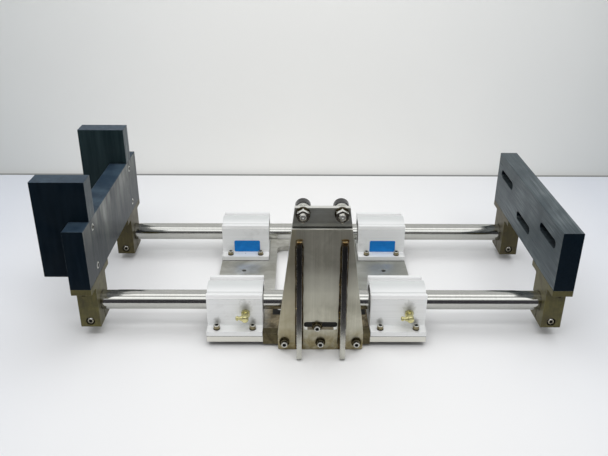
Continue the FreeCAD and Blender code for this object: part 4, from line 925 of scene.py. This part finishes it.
bracket = inMm(screwPitch=45.6, slotUp=28.6, slotShift=-4.5, screwLength=19.05, threaded=8)
bracketX = middle("bracket_plate").x
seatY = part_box("bracket_lock_washers")[0].y
bracketSpots = [(bracketX + step * bracket["screwPitch"], middle("mounting_bar").z) for step in (-1, 0, 1)]
bracketSpots.append((bracketX + bracket["slotShift"], bracket["slotUp"]))
bm = bmesh.new()
for x, z in bracketSpots:
    socketScrew(bm, (x, seatY, z), (0, 1, 0), bracket["screwLength"], smallScrew, bracket["threaded"])
addPiece("bracketScrews", bm, "carriage", [screwSteel, socketShadeAndGrime, knurlShaded], ["bracket_screws"])

supports = inMm(clampDrop=19.4, clampBevel=0.8, clampSeat=17.77, clampLength=35.0,
                flangeOut=32.1375, flangeThick=7.94, flangeLength=25.4)
clampScrews = bmesh.new()
flangeScrews = bmesh.new()
for name in fourOf("shaft_support"):
    centre = middle(name)
    axis = shaftOf(name)
    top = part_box(name)[1].z
    socketScrew(clampScrews, (centre.x, axis.y - supports["clampSeat"], axis.z - supports["clampDrop"]), (0, 1, 0),
                supports["clampLength"], dict(smallScrew, bevel=supports["clampBevel"]))
    for hand in (-1, 1):
        spot = (centre.x, axis.y + hand * supports["flangeOut"], top - supports["flangeThick"])
        socketScrew(flangeScrews, spot, (0, 0, 1), supports["flangeLength"], smallScrew)
addPiece("clampScrews", clampScrews, "shaft_frame", [nutSteel, socketShadeAndGrime, knurlShaded],
         ["clamp_screws"])
addPiece("flangeScrews", flangeScrews, "shaft_frame", [washerStraw, socketShadeAndGrime, washerStraw],
         ["flange_screws"])

fingers = inMm(screwLow=12.7, screwRise=54.0, screwLength=38.1, headRecess=0.1)
bm = bmesh.new()
crossLow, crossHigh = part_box("cross_plate_left")
for shaft in ("shaft_front", "shaft_rear"):
    for up in (fingers["screwLow"], fingers["screwLow"] + fingers["screwRise"]):
        seat = (crossHigh.x - fingers["headRecess"] - bigScrew["headHeight"], middle(shaft).y, crossLow.z + up)
        socketScrew(bm, seat, (-1, 0, 0), fingers["screwLength"], bigScrew)
addPiece("fingerScrews", bm, "shaft_frame", [screwSteel, socketShadeAndGrime, knurlShaded], ["finger_screws"])
print("screws made")


# hexagon nuts with chamfered corners
def hexagonNut(bm, place, flats, thick, hole):
    rows = [(0.4 * mm, hole), (0, hole + 0.4 * mm), *hexagonRows(flats, thick), (thick, hole + 0.4 * mm),
            (thick - 0.4 * mm, hole)]
    lathe(bm, rows, place, 48, closed=True)


rollers = inMm(nutFlats=14.29, nutThick=8.3, studRadius=4.7625, washerThick=2.2, cheekRadius=7.8, cheekThick=1.2,
               cheekBevel=0.5, sideClear=0.2, raceRadius=5.525, collarRadius=8.73, collarThick=5.0, tipBevel=1.5,
               socket=4.76, socketDepth=4.0, socketRim=0.2, plainShank=7, pitch=1.06, threadDepth=0.5)
plateFront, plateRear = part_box("roller_plate")[0].y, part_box("roller_plate")[1].y
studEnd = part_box("roller_studs")[0].y
nuts = bmesh.new()
studs = bmesh.new()
for name in ("roller_left", "roller_right"):
    centre = middle(name)
    washerFace = plateFront - rollers["washerThick"]
    hexagonNut(nuts, axisFrame((centre.x, washerFace, centre.z), (0, -1, 0)), rollers["nutFlats"],
               rollers["nutThick"], rollers["studRadius"] + 0.05 * mm)
    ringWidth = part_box(name)[1].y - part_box(name)[0].y
    cheek, thick = rollers["cheekRadius"], rollers["cheekThick"]
    room = ringWidth + 2 * rollers["sideClear"]
    seat = thick + room + rollers["collarThick"]
    collar = rollers["collarRadius"]
    length = plateRear + seat - studEnd
    shank, bevel = rollers["studRadius"], rollers["cheekBevel"]
    rows = socketRows(0, rollers["socketDepth"], rollers["socket"], rollers["socketRim"])
    rows += [(0, cheek - bevel), (0.5 * bevel, cheek - 0.15 * bevel), (bevel, cheek), (thick - 0.2 * mm, cheek),
             (thick, cheek - 0.2 * mm), (thick, rollers["raceRadius"]), (thick + room, rollers["raceRadius"]),
             (thick + room, collar - 0.4 * mm), (thick + room + 0.4 * mm, collar), (seat - 0.3 * mm, collar),
             (seat, collar - 0.3 * mm), (seat, shank)]
    tip = rollers["tipBevel"]
    thread = seat + rollers["plainShank"]
    rows += threadRows(thread, length - tip, shank, rollers["pitch"], rollers["threadDepth"], 2)
    rows += [(length - 0.8 * tip, shank - 0.6 * tip), (length, shank - tip), (length, 1.2 * mm),
             (length - 0.8 * mm, 0.2 * mm)]
    lathe(studs, rows, axisFrame((centre.x, plateRear + seat, centre.z), (0, -1, 0)), 48)
addPiece("rollerNuts", nuts, "carriage", [nutSteel], ["roller_nuts"])
addPiece("rollerStuds", studs, "carriage", [screwSteel, socketShadeAndGrime, nutSteel], ["roller_studs"])

slotNut = inMm(flats=9.5, hole=2.515)
bm = bmesh.new()
low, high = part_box("slot_nut")
hexagonNut(bm, axisFrame((middle("slot_nut").x, low.y, middle("slot_nut").z), (0, 1, 0)), slotNut["flats"],
           high.y - low.y, slotNut["hole"])
addPiece("slotNut", bm, "carriage", [screwSteel], ["slot_nut"])
print("nuts and studs made")


# forged brass grease elbows: a blunt leg, a short arm at its side, and a turned nipple in the arm
elbow = inMm(
    portSide=14.0, portDrop=4.5, reach=12.5, arm=5.6, radius=4.5, armRadius=3.4, hexFlats=10.3, hexThick=4.0,
    thread=4.9, threadRadius=3.1, collar=2.7, neck=2.1, ball=3.2, tip=1.92, nippleLength=6.4,
)
elbows = bmesh.new()
nipples = bmesh.new()
for name in blocks["names"]:
    centre = middle(name)
    axis = shaftOf(name)
    hand = 1 if "front" in name else -1  # rear blocks are turned round
    out = Vector((0, -hand, 0))
    aside = Vector((-hand, 0, 0))
    face = Vector((centre.x + hand * elbow["portSide"], axis.y - hand * blocks["faceWidth"] / 2,
                   axis.z - elbow["portDrop"]))
    turn = face + out * elbow["reach"]
    thick, leg = elbow["radius"], elbow["reach"]
    lathe(elbows, [(0.5 * elbow["hexThick"], 0.9 * thick), (elbow["hexThick"], 0.9 * thick),
                   (0.5 * leg, 0.9 * thick), (0.62 * leg, thick), (leg + 0.70 * thick, thick),
                   (leg + 0.86 * thick, 0.93 * thick), (leg + 0.98 * thick, 0.76 * thick),
                   (leg + 1.02 * thick, 0.5 * thick), (leg + 1.02 * thick, 0.1 * thick)], axisFrame(face, out), 40)
    armThick, arm = elbow["armRadius"], elbow["arm"]
    lathe(elbows, [(0, 0.5 * armThick), (0, armThick), (0.82 * arm, armThick), (0.93 * arm, 0.95 * armThick),
                   (arm, 0.84 * armThick), (arm, 0.2 * armThick)], axisFrame(turn, aside), 40)
    lathe(elbows, [(-elbow["thread"], 2.6 * mm), (-elbow["thread"] + 0.5 * mm, elbow["threadRadius"]),
                   (0, elbow["threadRadius"]), *hexagonRows(elbow["hexFlats"], elbow["hexThick"]),
                   (elbow["hexThick"], 2.0 * mm)], axisFrame(face, out), 48)
    long, ball = elbow["nippleLength"], elbow["ball"]
    lathe(nipples, [(-0.5 * mm, elbow["collar"]), (0.9 * mm, elbow["collar"]),
                    (1.2 * mm, elbow["collar"] - 0.3 * mm), (0.36 * long, elbow["neck"]),
                    (0.42 * long, elbow["neck"]), (0.46 * long, 0.80 * ball), (0.53 * long, 0.94 * ball),
                    (0.62 * long, ball), (0.72 * long, 0.99 * ball), (0.82 * long, 0.93 * ball),
                    (0.92 * long, 0.80 * ball), (long, elbow["tip"]), (long, 0.7 * mm),
                    (long - 0.6 * mm, 0.3 * mm)], axisFrame(turn + aside * elbow["arm"], aside), 32)
addPiece("greaseElbows", elbows, "carriage", [fittingBrass], ["grease_elbows"])
addPiece("greaseNipples", nipples, "carriage", [fittingBrass], ["grease_nipples"])
print("grease fittings made")


# a weld bead in the corner of two faces: rows of ripples along a fillet
weld = dict(
    leg=2.3 * mm, bulge=0.35, ripple=1.7 * mm, rippleHeight=0.22 * mm, rippleFall=0.7, bow=0.9, jitter=0.15,
    wander=0.12, ends=0.35, section=8,
)


def weldBead(bm, start, end, faceA, faceB, seed):
    length = (end - start).length
    along = (end - start).normalized()
    count = int(length / weld["ripple"] * 5)
    rows = []
    for number in range(count + 1):
        far = length * number / count
        run = far / mm
        inside = min(far, length - far) / (2 * weld["leg"])
        taper = min(1.0, weld["ends"] + (1 - weld["ends"]) * inside)  # beads fade in and out
        sway = math.sin(run * 0.23 + seed) * math.sin(run * 0.071 + 2 * seed)
        wide = taper * (1 + weld["wander"] * sway) - weld["wander"]
        row = []
        for step in range(weld["section"] + 1):
            angle = math.pi / 2 * step / weld["section"]
            flat = 1 / (math.cos(angle) + math.sin(angle))
            reach = weld["leg"] * wide * (flat + weld["bulge"] * (1 - flat))
            bow = weld["bow"] * weld["ripple"] * math.sin(2 * angle)
            phase = ((far + bow) / weld["ripple"] + weld["jitter"] * math.sin(run * 0.31 + seed)) % 1
            reach += weld["rippleHeight"] * math.sin(2 * angle) * (1 - phase) ** weld["rippleFall"]
            outward = math.cos(angle) * faceA + math.sin(angle) * faceB
            row.append(bm.verts.new(start + along * far + reach * outward))
        row.append(bm.verts.new(start + along * far))
        rows.append(row)
    joinRings(bm, rows)


toFront, toRear, toRight, upwards = Vector((0, -1, 0)), Vector((0, 1, 0)), Vector((1, 0, 0)), Vector((0, 0, 1))
bm = bmesh.new()
weldLow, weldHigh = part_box("rib_welds")[0].z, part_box("rib_welds")[1].z
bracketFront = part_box("bracket_plate")[0].y
for number, name in enumerate(("bracket_rib_left", "bracket_rib_right")):
    low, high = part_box(name)
    for edge, way in ((low.x, -1), (high.x, 1)):
        weldBead(bm, Vector((edge, bracketFront, weldLow)), Vector((edge, bracketFront, weldHigh)), toRight * way,
                 toFront, 3 * number + way)
addPiece("ribWelds", bm, "carriage", [weldSteel], ["rib_welds"], sharp=60)
bm = bmesh.new()
low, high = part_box("bar_weld")
weldBead(bm, Vector((low.x, low.y, low.z)), Vector((high.x, low.y, low.z)), toRear, upwards, 1.3)
addPiece("barWeld", bm, "carriage", [weldSteel], ["bar_weld"], sharp=60)
bm = bmesh.new()
low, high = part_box("roller_plate_weld")
weldBead(bm, Vector((low.x, low.y, high.z)), Vector((high.x, low.y, high.z)), toRear, -upwards, 2.1)
addPiece("rollerPlateWeld", bm, "carriage", [weldBlack], ["roller_plate_weld"], sharp=60)
print("weld beads made")


# blue labels on the inner faces of the rear blocks: rounded foil with a raised rim
label = dict(
    width=39.5 * mm, height=19.1 * mm, thick=0.3 * mm, corner=2.2 * mm, shift=2.0 * mm, middleUp=25.4 * mm,
    # each ring's inset, and its share of the thickness
    profile=((0.0, 0.0), (0.0, 0.7), (0.12 * mm, 1.0), (0.7 * mm, 1.0), (0.95 * mm, 0.75)),
)


def addLabel(name, blockName):
    centre = middle(blockName)
    face = middle("shaft_rear").y - blocks["faceWidth"] / 2
    bm = bmesh.new()
    rings = []
    for inset, proud in label["profile"]:
        ring = []
        for cornerX, cornerZ, turn in ((1, 1, 0), (-1, 1, 1), (-1, -1, 2), (1, -1, 3)):
            for step in range(7):
                angle = math.pi / 2 * (turn + step / 6)
                reach = label["corner"] - inset
                x = cornerX * (label["width"] / 2 - label["corner"]) + reach * math.cos(angle)
                z = cornerZ * (label["height"] / 2 - label["corner"]) + reach * math.sin(angle)
                spot = (centre.x + label["shift"] + x, face - proud * label["thick"], label["middleUp"] + z)
                ring.append(bm.verts.new(spot))
        rings.append(ring)
    joinRings(bm, rings)
    addPiece(name, bm, "carriage", [labelBlue])


addLabel("labelLeft", "pillow_block_rear_left")
addLabel("labelRight", "pillow_block_rear_right")
print("labels made")

# floor: the plane that the bracket's foot and the base plate's rear edge rest on, with a backdrop behind it
paper = dict(
    side=2.4, far=0.42, near=-2.0, rear=2.4, gap=9 * mm, wallLow=-0.10, wallHigh=0.75, rough=0.6,
    middle=-0.01, skinScale=700.0, skinDepth=0.02 * mm, gapShadow=(0.62, 0.63, 0.62),
    floor=(0.94, 0.94, 0.94), floorSide=(0.865, 0.88, 0.91), floorReach=0.55,
    wall=(0.98, 0.98, 0.97), wallSide=(0.845, 0.855, 0.85), wallReach=0.62,
)


def floorUp(y):
    (foot, footRear), (base, baseRear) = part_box("bracket_plate"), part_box("base_plate")
    return foot.z + (y - footRear.y) * (base.z - foot.z) / (baseRear.y - footRear.y)


def mixShaders(share, first, second, output):
    mix = addNode("ShaderNodeMixShader")
    for socket, source in zip(mix.inputs, (share, first, second)):
        put(socket, source)
    feed(output, Surface=mix.outputs[0])


# a sheet as wide on both sides, from a low edge to a high one
def stageSheet(name, side, low, high, material):
    bm = bmesh.new()
    corners = ((-side, *low), (side, *low), (side, *high), (-side, *high))
    bm.faces.new([bm.verts.new(corner) for corner in corners])
    sheet = meshObject(name, bm, [material])
    return sheet


def paperFinish(name, kind, oneSided=False):
    material, shader = newMaterial(name)
    feed(shader, Specular_IOR_Level=0.0, Roughness=paper["rough"])
    fade = useGroup("sideFade", Middle=paper["middle"], Reach=paper[kind + "Reach"])
    skin = useGroup("skin", Scale=paper["skinScale"])
    bump = feed(addNode("ShaderNodeBump"), Distance=paper["skinDepth"], Height=skin["Height"])
    colour = blend(fade["Mask"], paper[kind], paper[kind + "Side"])
    parts = placeParts()
    far, edge = paper["far"], floorUp(paper["far"])
    # painted shadow on the backdrop below the floor's far edge
    below = times(spread(parts["Z"], edge, edge - mm), spread(parts["Y"], far, far + mm))
    feed(shader, Base_Color=blend(below, colour, paper["gapShadow"]), Normal=bump.outputs[0])
    if oneSided:  # clear from behind, so that it never hides the guide
        back = addNode("ShaderNodeNewGeometry").outputs["Backfacing"]
        clear = addNode("ShaderNodeBsdfTransparent").outputs[0]
        mixShaders(back, shader.outputs[0], clear, material.node_tree.nodes["Material Output"])
    return material


wallY = paper["far"] + paper["gap"]
floorPaper = paperFinish("floorPaper", "floor")
for name, low, high in (("floor", paper["near"], paper["far"]), ("floorRear", wallY + 0.5 * mm, paper["rear"])):
    stageSheet(name, paper["side"], (low, floorUp(low)), (high, floorUp(high)), floorPaper)
stageSheet("backdrop", paper["side"], (wallY, paper["wallLow"]), (wallY, paper["wallHigh"]),
           paperFinish("backdropPaper", "wall", True))

# light: a long tube overhead, a window in front above the camera, broad fills that the steel does not mirror,
# and an even sky
plainLamp = dict(colour=(1.0, 1.0, 1.0), mirrored=True, diffuse=True)
lamps = (
    dict(plainLamp, name="overheadTube", place=(0.0, -0.21, 0.92), aim=(0, -0.21, 0), size=(1.9, 0.27), watts=2.05),
    dict(plainLamp, name="frontWindow", place=(-0.06, -1.15, 1.10), aim=(0, -0.1, 0.04), size=(2.0, 0.48), watts=3.6,
         colour=(0.97, 0.985, 1.0), diffuse=False),
    dict(plainLamp, name="topFill", place=(0.0, 0.28, 1.25), aim=(0, 0.0, 0), size=(1.5, 0.7), watts=4.9,
         mirrored=False),
    dict(plainLamp, name="frontFill", place=(0.0, -0.95, 1.60), aim=(0, 0, 0.05), size=(1.8, 0.32), watts=9.8,
         mirrored=False),
)
for lamp in lamps:
    data = bpy.data.lights.new(lamp["name"], "AREA")
    data.shape = "RECTANGLE"
    data.size, data.size_y = lamp["size"]
    data.energy = lamp["watts"]
    data.color = lamp["colour"]
    light = bpy.data.objects.new(lamp["name"], data)
    light.visible_glossy = lamp["mirrored"]
    light.visible_diffuse = lamp["diffuse"]
    scene.collection.objects.link(light)
    aim = Vector(lamp["aim"]) - Vector(lamp["place"])
    light.matrix_world = Matrix.Translation(lamp["place"]) @ aim.to_track_quat("-Z", "Y").to_matrix().to_4x4()

sky = dict(light=0.46, seen=(0.90, 0.905, 0.91))
world = bpy.data.worlds.new("studio")
scene.world = world
world.use_nodes = True
world.node_tree.nodes.clear()
openTree["now"] = world.node_tree
path = addNode("ShaderNodeLightPath")
seen = calc("MAXIMUM", path.outputs["Is Camera Ray"], path.outputs["Is Glossy Ray"])
seen = calc("MAXIMUM", seen, path.outputs["Is Transmission Ray"])
glow = feed(addNode("ShaderNodeBackground"), Color=(1, 1, 1, 1), Strength=sky["light"])
ceiling = feed(addNode("ShaderNodeBackground"), Color=sky["seen"], Strength=1.0)
mixShaders(seen, glow.outputs[0], ceiling.outputs[0], addNode("ShaderNodeOutputWorld"))

# the dark side of the room in front of the table: a leaning card that only the polished steel sees
card = dict(side=1.8, lowY=-0.276, highY=-0.607, high=0.284, colour=(0.305, 0.30, 0.32))
cardPaper, cardShader = newMaterial("cardPaper")
feed(cardShader, Base_Color=card["colour"], Specular_IOR_Level=0.0)
cardLow, cardHigh = (card["lowY"], floorUp(card["lowY"])), (card["highY"], card["high"])
darkCard = stageSheet("darkCard", card["side"], cardLow, cardHigh, cardPaper)
darkCard.visible_camera = False
darkCard.visible_diffuse = False
darkCard.visible_shadow = False
print("stage and light set")
